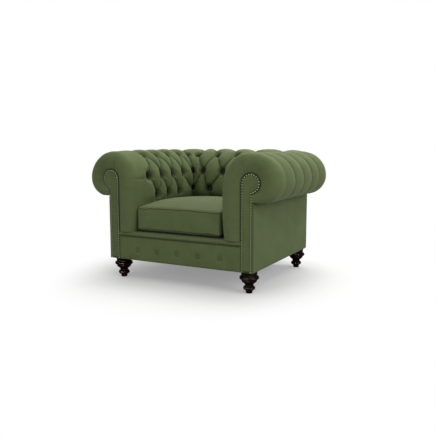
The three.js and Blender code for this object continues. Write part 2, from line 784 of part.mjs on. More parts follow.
function dustCover() {
  const half = seatHalf + frameInset;
  const front = frontRailFront;
  const rear = cornerY + frameInset;
  const points = [[half, front], [half, rear - railChamfer], [half - railChamfer, rear]];
  const shape = outline([...points, ...mirrorPoints(points, -1).reverse()]);
  for (const [x, y] of footPlaces()) {
    const hole = new THREE.Path();
    hole.absarc(x, y, boltRadius + fitGap, 0, 2 * Math.PI);
    shape.holes.push(hole);
  }
  const settings = { depth: dustCoverThickness, bevelEnabled: false, curveSegments: 8 };
  const geometry = new THREE.ExtrudeGeometry(shape, settings);
  geometry.translate(0, 0, bodyBottom + fitGap);
  return geometry;
}

function footPlaces() {
  const x = bodyHalf - footFromSide;
  const front = frontPlane + footFromFront;
  const rear = bodyBack - footFromBack;
  return [[-x, front], [x, front], [-x, rear], [x, rear]];
}

// Timber frame
const sideNames = [['left', -1], ['right', 1]];
const frameOuter = seatHalf + frameInset;
const frameRear = cornerY + frameInset;
const railTop = deckBottom - fitGap;
const postInner = seatHalf + rearPostInset;
const postFrontY = cornerY + rearPostInset;

for (const [word, side] of sideNames) {
  const mirrorBlock = (low, high) => {
    const xs = [side * low[0], side * high[0]].sort((a, b) => a - b);
    return block([xs[0], low[1], low[2]], [xs[1], high[1], high[2]]);
  };
  addPiece(`rail_${word}`, upFromPlan(sideRailPlan(side), frameBottom, railTop), timber);
  const post = outline(mirrorPoints(keyholePath(fitGap, frameBottom), side));
  addPiece(`front_post_${word}`, alongDepth(post, postFront, postBack, 0), timber);
  const rearPostLow = [postInner, postFrontY, frameBottom + blockHeight + fitGap];
  const rearPostHigh = [postInner + rearPostSize, postFrontY + rearPostSize, rearPostTop];
  addPiece(`rear_post_${word}`, mirrorBlock(rearPostLow, rearPostHigh), timber);
  const topReach = rollRadius - padThickness - curvedSeatGap;
  const topRailTop = rollCentreHeight + Math.sqrt(topReach ** 2 - (rollRadius - topRailFromWall) ** 2);
  const topInner = seatHalf + topRailFromWall;
  const armRailEnd = postFrontY - fitGap;
  const topLow = [topInner, postBack + fitGap, topRailBottom];
  const topHigh = [topInner + railThickness, armRailEnd, topRailTop];
  addPiece(`arm_top_rail_${word}`, mirrorBlock(topLow, topHigh), timber);
  const tackInner = seatHalf + padThickness + fitGap;
  const tackTop = tackRailBottom + railThickness;
  const tackLow = [tackInner, postBack + fitGap, tackRailBottom];
  const tackHigh = [tackInner + tackRailWidth, armRailEnd, tackTop];
  addPiece(`arm_tack_rail_${word}`, mirrorBlock(tackLow, tackHigh), timber);
  const outerTackLow = [frameOuter - railThickness, postBack + fitGap, outerTackRailBottom];
  const outerTackHigh = [frameOuter, cornerY, outerTackRailTop];
  addPiece(`outside_tack_rail_${word}`, mirrorBlock(outerTackLow, outerTackHigh), timber);
  if (side > 0) {
    const backEnd = postInner - fitGap;
    const backTopLow = [-backEnd, cornerY + topRailFromWall, topRailBottom];
    const backTopHigh = [backEnd, cornerY + topRailFromWall + railThickness, topRailTop];
    addPiece('back_top_rail', block(backTopLow, backTopHigh), timber);
    const backTackY = cornerY + padThickness + fitGap;
    const backTackLow = [-backEnd, backTackY, tackTop + fitGap];
    const backTackHigh = [backEnd, backTackY + tackRailWidth, tackTop + fitGap + railThickness];
    addPiece('back_tack_rail', block(backTackLow, backTackHigh), timber);
  }
}

const innerSpan = seatHalf + railInner - fitGap;
const postSpan = facingInner - fitGap + fitGap / 2;
const frontRailLow = [-postSpan, frontRailFront, frameBottom];
const frontRailHigh = [postSpan, frontRailFront + railThickness, frontRailTop];
addPiece('rail_front', block(frontRailLow, frontRailHigh), timber);
const backRailLow = [-innerSpan, frameRear - railThickness, frameBottom];
addPiece('rail_back', block(backRailLow, [innerSpan, frameRear, railTop]), timber);
const crossLow = [-innerSpan, crossRailFront, crossRailBottom];
const crossHigh = [innerSpan, crossRailFront + railThickness, frontRailTop];
addPiece('rail_cross', block(crossLow, crossHigh), timber);
const outerTackBackLow = [-seatHalf, frameRear - railThickness, outerTackRailBottom];
const outerTackBackHigh = [seatHalf, frameRear, outerTackRailTop];
addPiece('outside_tack_rail_back', block(outerTackBackLow, outerTackBackHigh), timber);

const frontRailBack = frontRailFront + railThickness;
const notchDepth = postBack - frontRailBack;
const footNames = ['front_left', 'front_right', 'rear_left', 'rear_right'];
footPlaces().forEach(([x, y], k) => {
  const side = Math.sign(x);
  const isFront = k < 2;
  const innerY = isFront ? frontRailBack + fitGap : frameRear - railThickness - fitGap;
  const geometry = cornerBlock(side, innerY, isFront ? 1 : -1, y, isFront ? notchDepth : 0);
  addPiece(`corner_block_${footNames[k]}`, geometry, timber);
  addPiece(`foot_${footNames[k]}`, turnedFoot(x, y), espresso);
  addPiece(`foot_bolt_${footNames[k]}`, hangerBolt(x, y), steel);
});

// Seat platform
for (let k = 0; k < springCount; k += 1) {
  const x = (k - (springCount - 1) / 2) * springPitch;
  addPiece(`seat_spring_${k + 1}`, seatSpring(x), steel);
}
const deckFront = postBack + 2 * fitGap;
const deckLow = [-frameOuter, deckFront, deckBottom];
const deckHigh = [frameOuter, crossRailFront + railThickness, seatLevel - fitGap];
addPiece('seat_deck', block(deckLow, deckHigh), fabricDark);
addPiece('front_lip', lipRoll(), fabric);
addPiece('border_welt', weltCord(), fabric);
addPiece('front_border', frontBorder(), fabric);
borderButtonPlaces().forEach(([x, z], k) => {
  addPiece(`border_button_${k + 1}`, coveredButton(x, z), fabric);
});

// Upholstered shell
for (const [word, side] of sideNames) {
  addPiece(`arm_roll_${word}`, armRoll(side), fabric);
  const panelInner = seatHalf + armThickness - panelThickness;
  const xs = [side * panelInner, side * bodyHalf].sort((a, b) => a - b);
  const panelTop = rollCentreHeight - underRollRadius - fitGap;
  const panelHigh = [xs[1], bodyBack - cornerRadius - fitGap, panelTop];
  addPiece(`outside_arm_${word}`, block([xs[0], frontPlane, bodyBottom], panelHigh), fabric);
  const facing = outline(mirrorPoints(keyholePath(0, bodyBottom), side));
  const facingFront = frontPlane - facingProud;
  const facingBack = facingFront + facingThickness;
  addPiece(`arm_facing_${word}`, alongDepth(facing, facingFront, facingBack, facingBevel), fabric);
  addPiece(`nail_trim_${word}`, nailBand(side), agedBrass);
}
addPiece('back_roll', backRoll(), fabric);
const backPanelTop = rollCentreHeight - underRollRadius - fitGap;
addPiece('outside_back', upFromPlan(backPanelPlan(), bodyBottom, backPanelTop), fabric);
addPiece('dust_cover', dustCover(), cambric);

// Loose cushion with the zip in its rear boxing
addPiece('seat_cushion', seatCushion(), fabric);
const zipFront = cushionMiddle + cushionHalfDepth + fitGap;
const zipBack = zipFront + zipThickness;
const zipLow = [-zipLength / 2, zipFront, zipHeight - zipWidth / 2];
addPiece('cushion_zip', block(zipLow, [zipLength / 2, zipBack, zipHeight + zipWidth / 2]), zipTape);
const pullLow = [zipLength / 2 - zipPullLength, zipBack + fitGap, zipHeight - zipPullWidth / 2];
const pullHigh = [zipLength / 2, zipBack + fitGap + zipPullThickness, zipHeight + zipPullWidth / 2];
addPiece('zip_pull', block(pullLow, pullHigh), agedBrass);

export default chair;
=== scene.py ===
import math
from itertools import product

import bpy
import numpy as np
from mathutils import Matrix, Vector, noise


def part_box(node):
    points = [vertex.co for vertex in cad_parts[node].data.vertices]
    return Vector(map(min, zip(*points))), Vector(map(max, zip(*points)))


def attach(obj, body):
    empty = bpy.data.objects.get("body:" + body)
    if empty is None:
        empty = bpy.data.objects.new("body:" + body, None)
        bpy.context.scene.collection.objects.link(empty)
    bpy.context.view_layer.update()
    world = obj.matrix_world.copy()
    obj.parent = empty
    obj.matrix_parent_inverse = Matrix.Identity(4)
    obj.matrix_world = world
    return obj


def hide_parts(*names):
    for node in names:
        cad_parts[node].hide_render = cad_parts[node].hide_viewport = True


# Deep-buttoned club chair. Metres, Z up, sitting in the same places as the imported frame.
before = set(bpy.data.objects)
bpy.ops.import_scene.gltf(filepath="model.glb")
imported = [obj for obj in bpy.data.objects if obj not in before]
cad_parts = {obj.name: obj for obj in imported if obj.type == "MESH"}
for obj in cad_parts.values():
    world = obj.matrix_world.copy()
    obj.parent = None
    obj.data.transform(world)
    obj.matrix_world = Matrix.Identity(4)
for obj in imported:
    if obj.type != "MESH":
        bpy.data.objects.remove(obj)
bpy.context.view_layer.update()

# Sizes that the upholstery shares with the frame
chairSize = {
    "seatHalf": 0.283,
    "insideDepth": 0.66,
    "frontPlane": -0.48,
    "armThickness": 0.17,
    "bodyBottom": 0.118,
    "seatLevel": 0.277,
    "rollRadius": 0.154,
    "rollCentre": 0.576,
    "underRadius": 0.1,
    "padThickness": 0.045,
    "wallCrown": 0.009,
    "crownTop": 0.62,
    "panelThickness": 0.0107,
    "postDepth": 0.0523,
    "fitGap": 0.0003,
}
seatHalf = chairSize["seatHalf"]
frontPlane = chairSize["frontPlane"]
cornerY = frontPlane + chairSize["insideDepth"]
rollRadius = chairSize["rollRadius"]
rollCentre = chairSize["rollCentre"]
underRadius = chairSize["underRadius"]
seatLevel = chairSize["seatLevel"]
bodyBottom = chairSize["bodyBottom"]
fitGap = chairSize["fitGap"]
bodyHalf = seatHalf + chairSize["armThickness"]
bodyBack = cornerY + chairSize["armThickness"]
panelTop = rollCentre - underRadius - fitGap
quarterTurn = math.pi / 2
fullTurn = 2 * math.pi


# Shader building

def addNode(tree, kind, **settings):
    node = tree.nodes.new(kind)
    node.location = (220 * (len(tree.nodes) % 8), -260 * (len(tree.nodes) // 8))
    for key, value in settings.items():
        setattr(node, key, value)
    return node


def plug(tree, socket, value):
    # value is another node's output or a plain value
    if hasattr(value, "links"):
        tree.links.new(value, socket)
    elif isinstance(value, tuple):
        socket.default_value = (*value, 1.0)[:len(socket.default_value)]
    else:
        socket.default_value = value


def feed(tree, node, **values):
    for key, value in values.items():
        plug(tree, node.inputs[key.replace("_", " ")], value)
    return node


def mathNode(tree, operation, *values):
    node = addNode(tree, "ShaderNodeMath", operation=operation)
    for socket, value in zip(node.inputs, values):
        plug(tree, socket, value)
    return node.outputs[0]


def times(tree, first, second):
    return mathNode(tree, "MULTIPLY", first, second)


def plus(tree, first, second):
    return mathNode(tree, "ADD", first, second)


def mixColour(tree, factor, first, second):
    node = addNode(tree, "ShaderNodeMix", data_type="RGBA")
    for slot, value in ((0, factor), (6, first), (7, second)):
        plug(tree, node.inputs[slot], value)
    return node.outputs[2]


def noiseNode(tree, place, scale, **values):
    return feed(tree, addNode(tree, "ShaderNodeTexNoise"), Vector=place, Scale=scale, **values).outputs["Fac"]


def spread(tree, value, low, high):
    node = addNode(tree, "ShaderNodeMapRange")
    return feed(tree, node, Value=value, From_Min=low, From_Max=high).outputs[0]


def stretched(tree, place, scale):
    return feed(tree, addNode(tree, "ShaderNodeMapping"), Vector=place, Scale=scale).outputs[0]


def newGroup(name, inputs, outputs):
    group = bpy.data.node_groups.new(name, "ShaderNodeTree")
    group.interface.new_socket("Place", in_out="INPUT", socket_type="NodeSocketVector")
    for label, value in inputs.items():
        group.interface.new_socket(label, in_out="INPUT", socket_type="NodeSocketFloat").default_value = value
    for label in outputs:
        group.interface.new_socket(label, in_out="OUTPUT", socket_type="NodeSocketFloat")
    return group, addNode(group, "NodeGroupInput").outputs, addNode(group, "NodeGroupOutput")


def wovenClothGroup():
    # plain weave with thicker threads here and there
    group, given, made = newGroup("wovenCloth", {"Threads": 600.0, "Slub": 0.5}, ["Height", "Shade"])
    split = feed(group, addNode(group, "ShaderNodeSeparateXYZ"), Vector=given["Place"])
    threads = [times(group, split.outputs[axis], given["Threads"]) for axis in "XY"]
    weave = times(group, *(mathNode(group, "SINE", times(group, thread, fullTurn)) for thread in threads))
    slubs = [noiseNode(group, stretched(group, given["Place"], scale), 1.0, Detail=2.0, Roughness=0.6)
             for scale in ((60.0, 900.0, 1.0), (900.0, 60.0, 1.0))]
    uneven = times(group, mathNode(group, "SUBTRACT", plus(group, *slubs), 1.0), given["Slub"])
    height = plus(group, plus(group, times(group, weave, 0.25), 0.5), uneven)
    shade = plus(group, plus(group, times(group, uneven, 1.6), 0.5), times(group, weave, 0.12))
    feed(group, made, Height=height, Shade=shade)
    return group


def napCloudsGroup():
    # broad soft patches where the nap lies another way
    group, given, made = newGroup("napClouds", {"Patches": 14.0}, ["Shade"])
    clouds = noiseNode(group, given["Place"], given["Patches"], Detail=5.0, Roughness=0.68, Distortion=0.4)
    feed(group, made, Shade=spread(group, clouds, 0.3, 0.7))
    return group


def woodGrainGroup():
    # long fibres with darker pores
    group, given, made = newGroup("woodGrain", {"Fibres": 90.0}, ["Shade", "Height"])
    place = stretched(group, given["Place"], (1.0, 1.0, 0.08))
    grain = noiseNode(group, place, given["Fibres"], Detail=5.0, Roughness=0.6, Distortion=0.6)
    feed(group, made, Shade=spread(group, grain, 0.32, 0.68), Height=grain)
    return group


def rubWearGroup():
    # fine dust and rubbing, as an uneven mask
    group, given, made = newGroup("rubWear", {"Size": 60.0, "Amount": 0.4}, ["Mask"])
    dust = noiseNode(group, given["Place"], given["Size"], Detail=4.0, Roughness=0.65)
    feed(group, made, Mask=times(group, spread(group, dust, 0.45, 0.75), given["Amount"]))
    return group


groups = {
    "wovenCloth": wovenClothGroup(),
    "napClouds": napCloudsGroup(),
    "woodGrain": woodGrainGroup(),
    "rubWear": rubWearGroup(),
}


def useGroup(tree, name, place, **values):
    return feed(tree, addNode(tree, "ShaderNodeGroup", node_tree=groups[name]), Place=place, **values).outputs


def newMaterial(name):
    material = bpy.data.materials.new(name)
    material.use_nodes = True
    return material, material.node_tree, material.node_tree.nodes["Principled BSDF"]


def bumpFrom(tree, height, strength, distance):
    node = addNode(tree, "ShaderNodeBump")
    return feed(tree, node, Height=height, Strength=strength, Distance=distance).outputs["Normal"]


def clothMaterial(name, look):
    material, tree, shader = newMaterial(name)
    place = addNode(tree, "ShaderNodeAttribute", attribute_name="clothPlace").outputs["Vector"]
    paintedShade = addNode(tree, "ShaderNodeAttribute", attribute_name="paintedShade").outputs["Fac"]
    weave = useGroup(tree, "wovenCloth", place, Threads=look["threads"], Slub=look["slub"])
    clouds = useGroup(tree, "napClouds", place, Patches=look["patches"])
    mix = plus(tree, times(tree, weave["Shade"], look["weaveShare"]),
               times(tree, clouds["Shade"], 1 - look["weaveShare"]))
    body = mixColour(tree, mix, look["shadeColour"], look["lightColour"])
    # painted shade: the attribute darkens the cloth towards a near-black colour in creases, pits, seams,
    # recesses and other shaded places
    colour = mixColour(tree, times(tree, paintedShade, look["foldShade"]), body, look["paintedShadeColour"])
    feed(tree, shader, Base_Color=colour,
         Roughness=plus(tree, times(tree, weave["Shade"], 0.12), look["roughness"]),
         Normal=bumpFrom(tree, weave["Height"], look["bump"], look["bumpDepth"]),
         Sheen_Weight=look["sheen"], Sheen_Roughness=look["sheenRoughness"], Sheen_Tint=look["sheenTint"],
         Specular_IOR_Level=look["specular"])
    return material


coverLook = {
    "threads": 620.0,          # threads in a metre
    "slub": 0.5,
    "patches": 9.0,
    "weaveShare": 0.62,
    "shadeColour": (0.076, 0.102, 0.0385),
    "lightColour": (0.14, 0.18, 0.0715),
    # painted shade: the colour and strength that the cloth is darkened towards where it lies in shade
    "paintedShadeColour": (0.012, 0.014, 0.006),
    "foldShade": 0.97,
    "roughness": 0.78,
    "bump": 0.45,
    "bumpDepth": 0.0006,
    "sheen": 0.14,
    "sheenRoughness": 0.4,
    "sheenTint": (0.78, 0.86, 0.6),
    "specular": 0.22,
}
deckLook = {**coverLook, "threads": 900.0, "slub": 0.25, "shadeColour": (0.055, 0.07, 0.032),
            "lightColour": (0.085, 0.106, 0.05), "sheen": 0.08, "bump": 0.3}
zipTapeLook = {**coverLook, "threads": 1300.0, "slub": 0.1, "shadeColour": (0.04, 0.052, 0.024),
               "lightColour": (0.06, 0.075, 0.036), "sheen": 0.0, "bump": 0.35}
dustLook = {**coverLook, "threads": 800.0, "slub": 0.9, "shadeColour": (0.006, 0.006, 0.006),
            "lightColour": (0.014, 0.014, 0.014), "sheen": 0.0, "sheenTint": (1.0, 1.0, 1.0)}


def lacquerMaterial(name, look):
    material, tree, shader = newMaterial(name)
    place = addNode(tree, "ShaderNodeTexCoord").outputs["Object"]
    grain = useGroup(tree, "woodGrain", place, Fibres=look["fibres"])
    wear = useGroup(tree, "rubWear", place, Size=look["wearSize"], Amount=look["wearAmount"])["Mask"]
    wood = mixColour(tree, grain["Shade"], look["darkColour"], look["lightColour"])
    feed(tree, shader, Base_Color=mixColour(tree, wear, wood, look["wearColour"]),
         Roughness=plus(tree, wear, look["roughness"]),
         Normal=bumpFrom(tree, grain["Height"], look["bump"], look["bumpDepth"]),
         Coat_Weight=look["coat"], Coat_Roughness=look["coatRoughness"], Coat_IOR=look["coatIndex"],
         Specular_IOR_Level=look["specular"])
    return material


footLook = {
    "fibres": 120.0,
    "wearSize": 90.0,
    "wearAmount": 0.12,
    "darkColour": (0.0045, 0.0019, 0.001),
    "lightColour": (0.015, 0.0056, 0.0023),
    "wearColour": (0.018, 0.009, 0.005),
    "roughness": 0.3,
    "bump": 0.05,
    "bumpDepth": 0.0005,
    "coat": 0.085,
    "coatRoughness": 0.025,
    "coatIndex": 1.33,
    "specular": 0.0,
}
timberLook = {
    "fibres": 70.0,
    "wearSize": 30.0,
    "wearAmount": 0.3,
    "darkColour": (0.3, 0.19, 0.095),
    "lightColour": (0.5, 0.35, 0.19),
    "wearColour": (0.4, 0.3, 0.19),
    "roughness": 0.55,
    "bump": 0.3,
    "bumpDepth": 0.0005,
    "coat": 0.0,
    "coatRoughness": 0.3,
    "coatIndex": 1.5,
    "specular": 0.3,
}


def metalMaterial(name, look):
    material, tree, shader = newMaterial(name)
    place = addNode(tree, "ShaderNodeTexCoord").outputs["Object"]
    wear = useGroup(tree, "rubWear", place, Size=look["wearSize"], Amount=look["wearAmount"])["Mask"]
    feed(tree, shader, Metallic=1.0, Base_Color=mixColour(tree, wear, look["colour"], look["tarnish"]),
         Roughness=plus(tree, times(tree, wear, 0.4), look["roughness"]))
    return material


nailLook = {"colour": (0.26, 0.29, 0.165), "tarnish": (0.09, 0.1, 0.058), "roughness": 0.22,
            "wearSize": 260.0, "wearAmount": 0.9}
steelLook = {"colour": (0.42, 0.43, 0.44), "tarnish": (0.16, 0.15, 0.14), "roughness": 0.38,
             "wearSize": 120.0, "wearAmount": 0.5}
zipMetalLook = {"colour": (0.5, 0.41, 0.24), "tarnish": (0.16, 0.12, 0.07), "roughness": 0.3,
                "wearSize": 300.0, "wearAmount": 0.4}

coverCloth = clothMaterial("olive_cover_cloth", coverLook)
deckCloth = clothMaterial("platform_cloth", deckLook)
zipCloth = clothMaterial("zip_tape_cloth", zipTapeLook)
dustCloth = clothMaterial("dust_cloth", dustLook)
footLacquer = lacquerMaterial("espresso_lacquer", footLook)
frameTimber = lacquerMaterial("planed_timber", timberLook)
nailBrass = metalMaterial("aged_brass", nailLook)
boltSteel = metalMaterial("plain_steel", steelLook)
zipBrass = metalMaterial("zip_brass", zipMetalLook)
print("materials ready")


# Mesh helpers

def markCloth(mesh, place, paintedShade):
    # each point's place on the cloth, and how much painted shade it gets in folds, pits, seams and other
    # shaded places
    spots = np.zeros((len(place), 3), np.float32)
    spots[:, : np.shape(place)[1]] = place
    mesh.attributes.new("clothPlace", "FLOAT_VECTOR", "POINT").data.foreach_set("vector", spots.ravel())
    marks = np.asarray(paintedShade, np.float32).ravel()
    mesh.attributes.new("paintedShade", "FLOAT", "POINT").data.foreach_set("value", marks)


def makeMesh(name, points, faces, material, place=None, paintedShade=None, flat=False):
    mesh = bpy.data.meshes.new(name)
    mesh.from_pydata(np.asarray(points, float).tolist(), [], [list(map(int, f)) for f in faces])
    mesh.validate()
    mesh.polygons.foreach_set("use_smooth", [not flat] * len(mesh.polygons))
    if place is not None:
        markCloth(mesh, place, paintedShade)
    mesh.materials.append(material)
    if not flat:
        mesh.set_sharp_from_angle(angle=math.radians(72))
    mesh.update()
    piece = bpy.data.objects.new(name, mesh)
    bpy.context.scene.collection.objects.link(piece)
    return piece


def turnOutward(points, faces):
    # faces as they are, or all turned round where they point inwards
    corners = np.asarray(points)
    total = 0.0
    for f in faces:
        for k in range(1, len(f) - 1):
            total += np.dot(corners[f[0]], np.cross(corners[f[k]], corners[f[k + 1]]))
    return faces if total > 0 else [list(f)[::-1] for f in faces]


def gridFaces(rows, columns, start=0, closed=False):
    return [(start + r * columns + c, start + r * columns + (c + 1) % columns,
             start + (r + 1) * columns + (c + 1) % columns, start + (r + 1) * columns + c)
            for r in range(rows - 1) for c in range(columns if closed else columns - 1)]


def loftLoops(name, loops, material, places=None, paintedShade=None):
    # a closed form through equal loops, capped at both ends
    size = len(loops[0])
    points = np.concatenate(loops)
    last = (len(loops) - 1) * size
    faces = gridFaces(len(loops), size, closed=True)
    faces += [tuple(range(size))[::-1], tuple(last + k for k in range(size))]
    return makeMesh(name, points, turnOutward(points, faces), material, places, paintedShade)


def zipChains(first, firstReach, second, secondReach):
    # triangles between two chains of points that run side by side
    faces = []
    i = j = 0
    while i + 1 < len(first) or j + 1 < len(second):
        secondDone = j + 1 == len(second)
        if i + 1 < len(first) and (secondDone or firstReach[i + 1] <= secondReach[j + 1]):
            faces.append((first[i], first[i + 1], second[j]))
            i += 1
        else:
            faces.append((first[i], second[j + 1], second[j]))
            j += 1
    return faces


def finishPiece(piece, body, nodes=()):
    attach(piece, body)
    if nodes:
        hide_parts(*nodes)
    return piece


# Camera, floor and light

cameraView = {
    "spot": (1.5903, -3.0101, 0.7731),
    "heading": 27.88,
    "pitch": 7.6,
    "lens": 46.4,
}
stageLook = {
    "floorReach": 14.0,
    "floorColour": 0.98,
    "floorBounce": 0.32,
    "whiteNear": 0.25,         # share of plain white under the chair
    "whiteFrom": 0.6,          # from here it grows, and beyond whiteTo the floor is plain white
    "whiteTo": 1.15,
    "whiteSquash": (1.2, 1.0, 1.0),
    "skyLevel": 0.42,
}
lampAim = (0, -0.05, 0.4)
lampLook = [
    # name, place, size, power, colour
    ("overhead", (0.1, 1.0, 2.65), 2.4, 52.0, (1.0, 0.99, 0.97)),
    ("rightFill", (3.4, -0.6, 1.7), 2.0, 38.0, (1.0, 1.0, 1.0)),
    ("frontFill", (-0.2, -4.2, 1.1), 2.4, 27.0, (1.0, 1.0, 1.0)),
    ("spark", (1.5, -1.9, 2.1), 0.28, 7.0, (1.0, 0.98, 0.95)),
]
glintAim = (0.2, -0.3, 0.06)
glintLook = [
    # strips that only show as reflections in the lacquered feet: name, place, width, height, power
    ("glintFront", (0.5, -3.3, 0.75), 2.6, 0.5, 1100.0),
    ("glintRight", (2.9, -1.3, 1.3), 0.8, 0.8, 800.0),
    ("glintLeft", (-1.7, -2.5, 0.8), 0.5, 0.8, 450.0),
]


def placeObject(name, data, spot):
    item = bpy.data.objects.new(name, data)
    item.location = spot
    bpy.context.scene.collection.objects.link(item)
    return item


def buildCamera():
    data = bpy.data.cameras.new("photo_view")
    data.lens = cameraView["lens"]
    data.sensor_width = 36.0
    camera = placeObject("photo_view", data, cameraView["spot"])
    camera.rotation_euler = (math.radians(90 - cameraView["pitch"]), 0, math.radians(cameraView["heading"]))
    bpy.context.scene.camera = camera


def seenDirectly(tree):
    # 1 for camera, glossy and transmission rays
    path = addNode(tree, "ShaderNodeLightPath").outputs
    mirrored = mathNode(tree, "MAXIMUM", path["Is Glossy Ray"], path["Is Transmission Ray"])
    return mathNode(tree, "MAXIMUM", path["Is Camera Ray"], mirrored)


def mixShaders(tree, factor, first, second, output):
    node = addNode(tree, "ShaderNodeMixShader")
    for socket, value in zip(node.inputs, (factor, first, second)):
        plug(tree, socket, value)
    plug(tree, output.inputs["Surface"], node.outputs[0])


def buildFloor():
    material, tree, shader = newMaterial("studio_floor")
    seen = seenDirectly(tree)
    dull, white = ((stageLook[k],) * 3 for k in ("floorBounce", "floorColour"))
    feed(tree, shader, Roughness=0.9, Specular_IOR_Level=0.1, Base_Color=mixColour(tree, seen, dull, white))
    glow = feed(tree, addNode(tree, "ShaderNodeEmission"), Strength=1.0)
    spot = stretched(tree, addNode(tree, "ShaderNodeTexCoord").outputs["Object"], stageLook["whiteSquash"])
    distance = addNode(tree, "ShaderNodeVectorMath", operation="LENGTH")
    plug(tree, distance.inputs[0], spot)
    ramp = addNode(tree, "ShaderNodeMapRange", interpolation_type="SMOOTHSTEP")
    feed(tree, ramp, Value=distance.outputs["Value"], To_Min=stageLook["whiteNear"],
         From_Min=stageLook["whiteFrom"], From_Max=stageLook["whiteTo"])
    share = times(tree, ramp.outputs[0], seen)
    mixShaders(tree, share, shader.outputs[0], glow.outputs[0], tree.nodes["Material Output"])
    steps = np.linspace(-stageLook["floorReach"], stageLook["floorReach"], 9)
    points = [(x, y, 0.0) for y in steps for x in steps]
    makeMesh("studio_floor", points, gridFaces(9, 9), material)


def buildWorld():
    world = bpy.data.worlds.new("studio_white")
    bpy.context.scene.world = world
    world.use_nodes = True
    tree = world.node_tree
    tree.nodes.clear()
    sky, white = (feed(tree, addNode(tree, "ShaderNodeBackground"), Color=(1.0, 1.0, 1.0), Strength=level)
                  for level in (stageLook["skyLevel"], 1.0))
    output = addNode(tree, "ShaderNodeOutputWorld")
    mixShaders(tree, seenDirectly(tree), sky.outputs[0], white.outputs[0], output)


def areaLamp(name, spot, aim, power, **settings):
    data = bpy.data.lights.new(name, "AREA")
    data.energy = power
    for key, value in settings.items():
        setattr(data, key, value)
    lamp = placeObject(name, data, spot)
    lamp.rotation_euler = (Vector(aim) - Vector(spot)).to_track_quat("-Z", "Y").to_euler()
    return lamp


def buildGlints(feet):
    only = bpy.data.collections.new("glint_receivers")
    for piece in feet:
        only.objects.link(piece)
    for name, spot, width, height, power in glintLook:
        lamp = areaLamp(name, spot, glintAim, power, shape="RECTANGLE", size=width, size_y=height)
        lamp.visible_diffuse = False
        lamp.light_linking.receiver_collection = only


buildCamera()
buildFloor()
buildWorld()
for name, spot, size, power, colour in lampLook:
    areaLamp(name, spot, lampAim, power, shape="DISK", size=size, color=colour)
bpy.context.scene.view_settings.view_transform = "Standard"
print("camera, floor and lamps ready")


# Deep buttoning

# The roll is walked by arc length v from the seat: up the wall, over the roll, round the
# underside and back to the outside panel.
wallLength = rollCentre - seatLevel
rollEnd = wallLength + math.pi * rollRadius
underEnd = rollEnd + quarterTurn * underRadius
underInset = 2 * rollRadius - underRadius
panelInset = chairSize["armThickness"] - chairSize["panelThickness"] + fitGap / 2
sectionEnd = underEnd + underInset - panelInset
rollTop = wallLength + quarterTurn * rollRadius
mitre = math.pi / 4


def crownAt(v):
    return chairSize["wallCrown"] * np.sin(np.pi * np.clip(v / (chairSize["crownTop"] - seatLevel), 0, 1))


def sectionAt(v):
    # inset and height of the section, and its way out
    v = np.asarray(v, float)
    crown = crownAt(v)
    turn = np.pi - (v - wallLength) / rollRadius
    underTurn = -(v - rollEnd) / underRadius
    zones = [v < wallLength, v < rollEnd, v < underEnd]
    radius = rollRadius + crown
    cos, sin, underCos, underSin = np.cos(turn), np.sin(turn), np.cos(underTurn), np.sin(underTurn)
    insets = [-crown, rollRadius + radius * cos, underInset + underRadius * underCos]
    heights = [seatLevel + v, rollCentre + radius * sin, rollCentre + underRadius * underSin]
    inset = np.select(zones, insets, underInset - (v - underEnd))
    height = np.select(zones, heights, rollCentre - underRadius)
    outInset = np.select(zones, [-np.ones_like(v), cos, underCos], 0.0)
    outHeight = np.select(zones, [np.zeros_like(v), sin, underSin], -1.0)
    return inset, height, outInset, outHeight


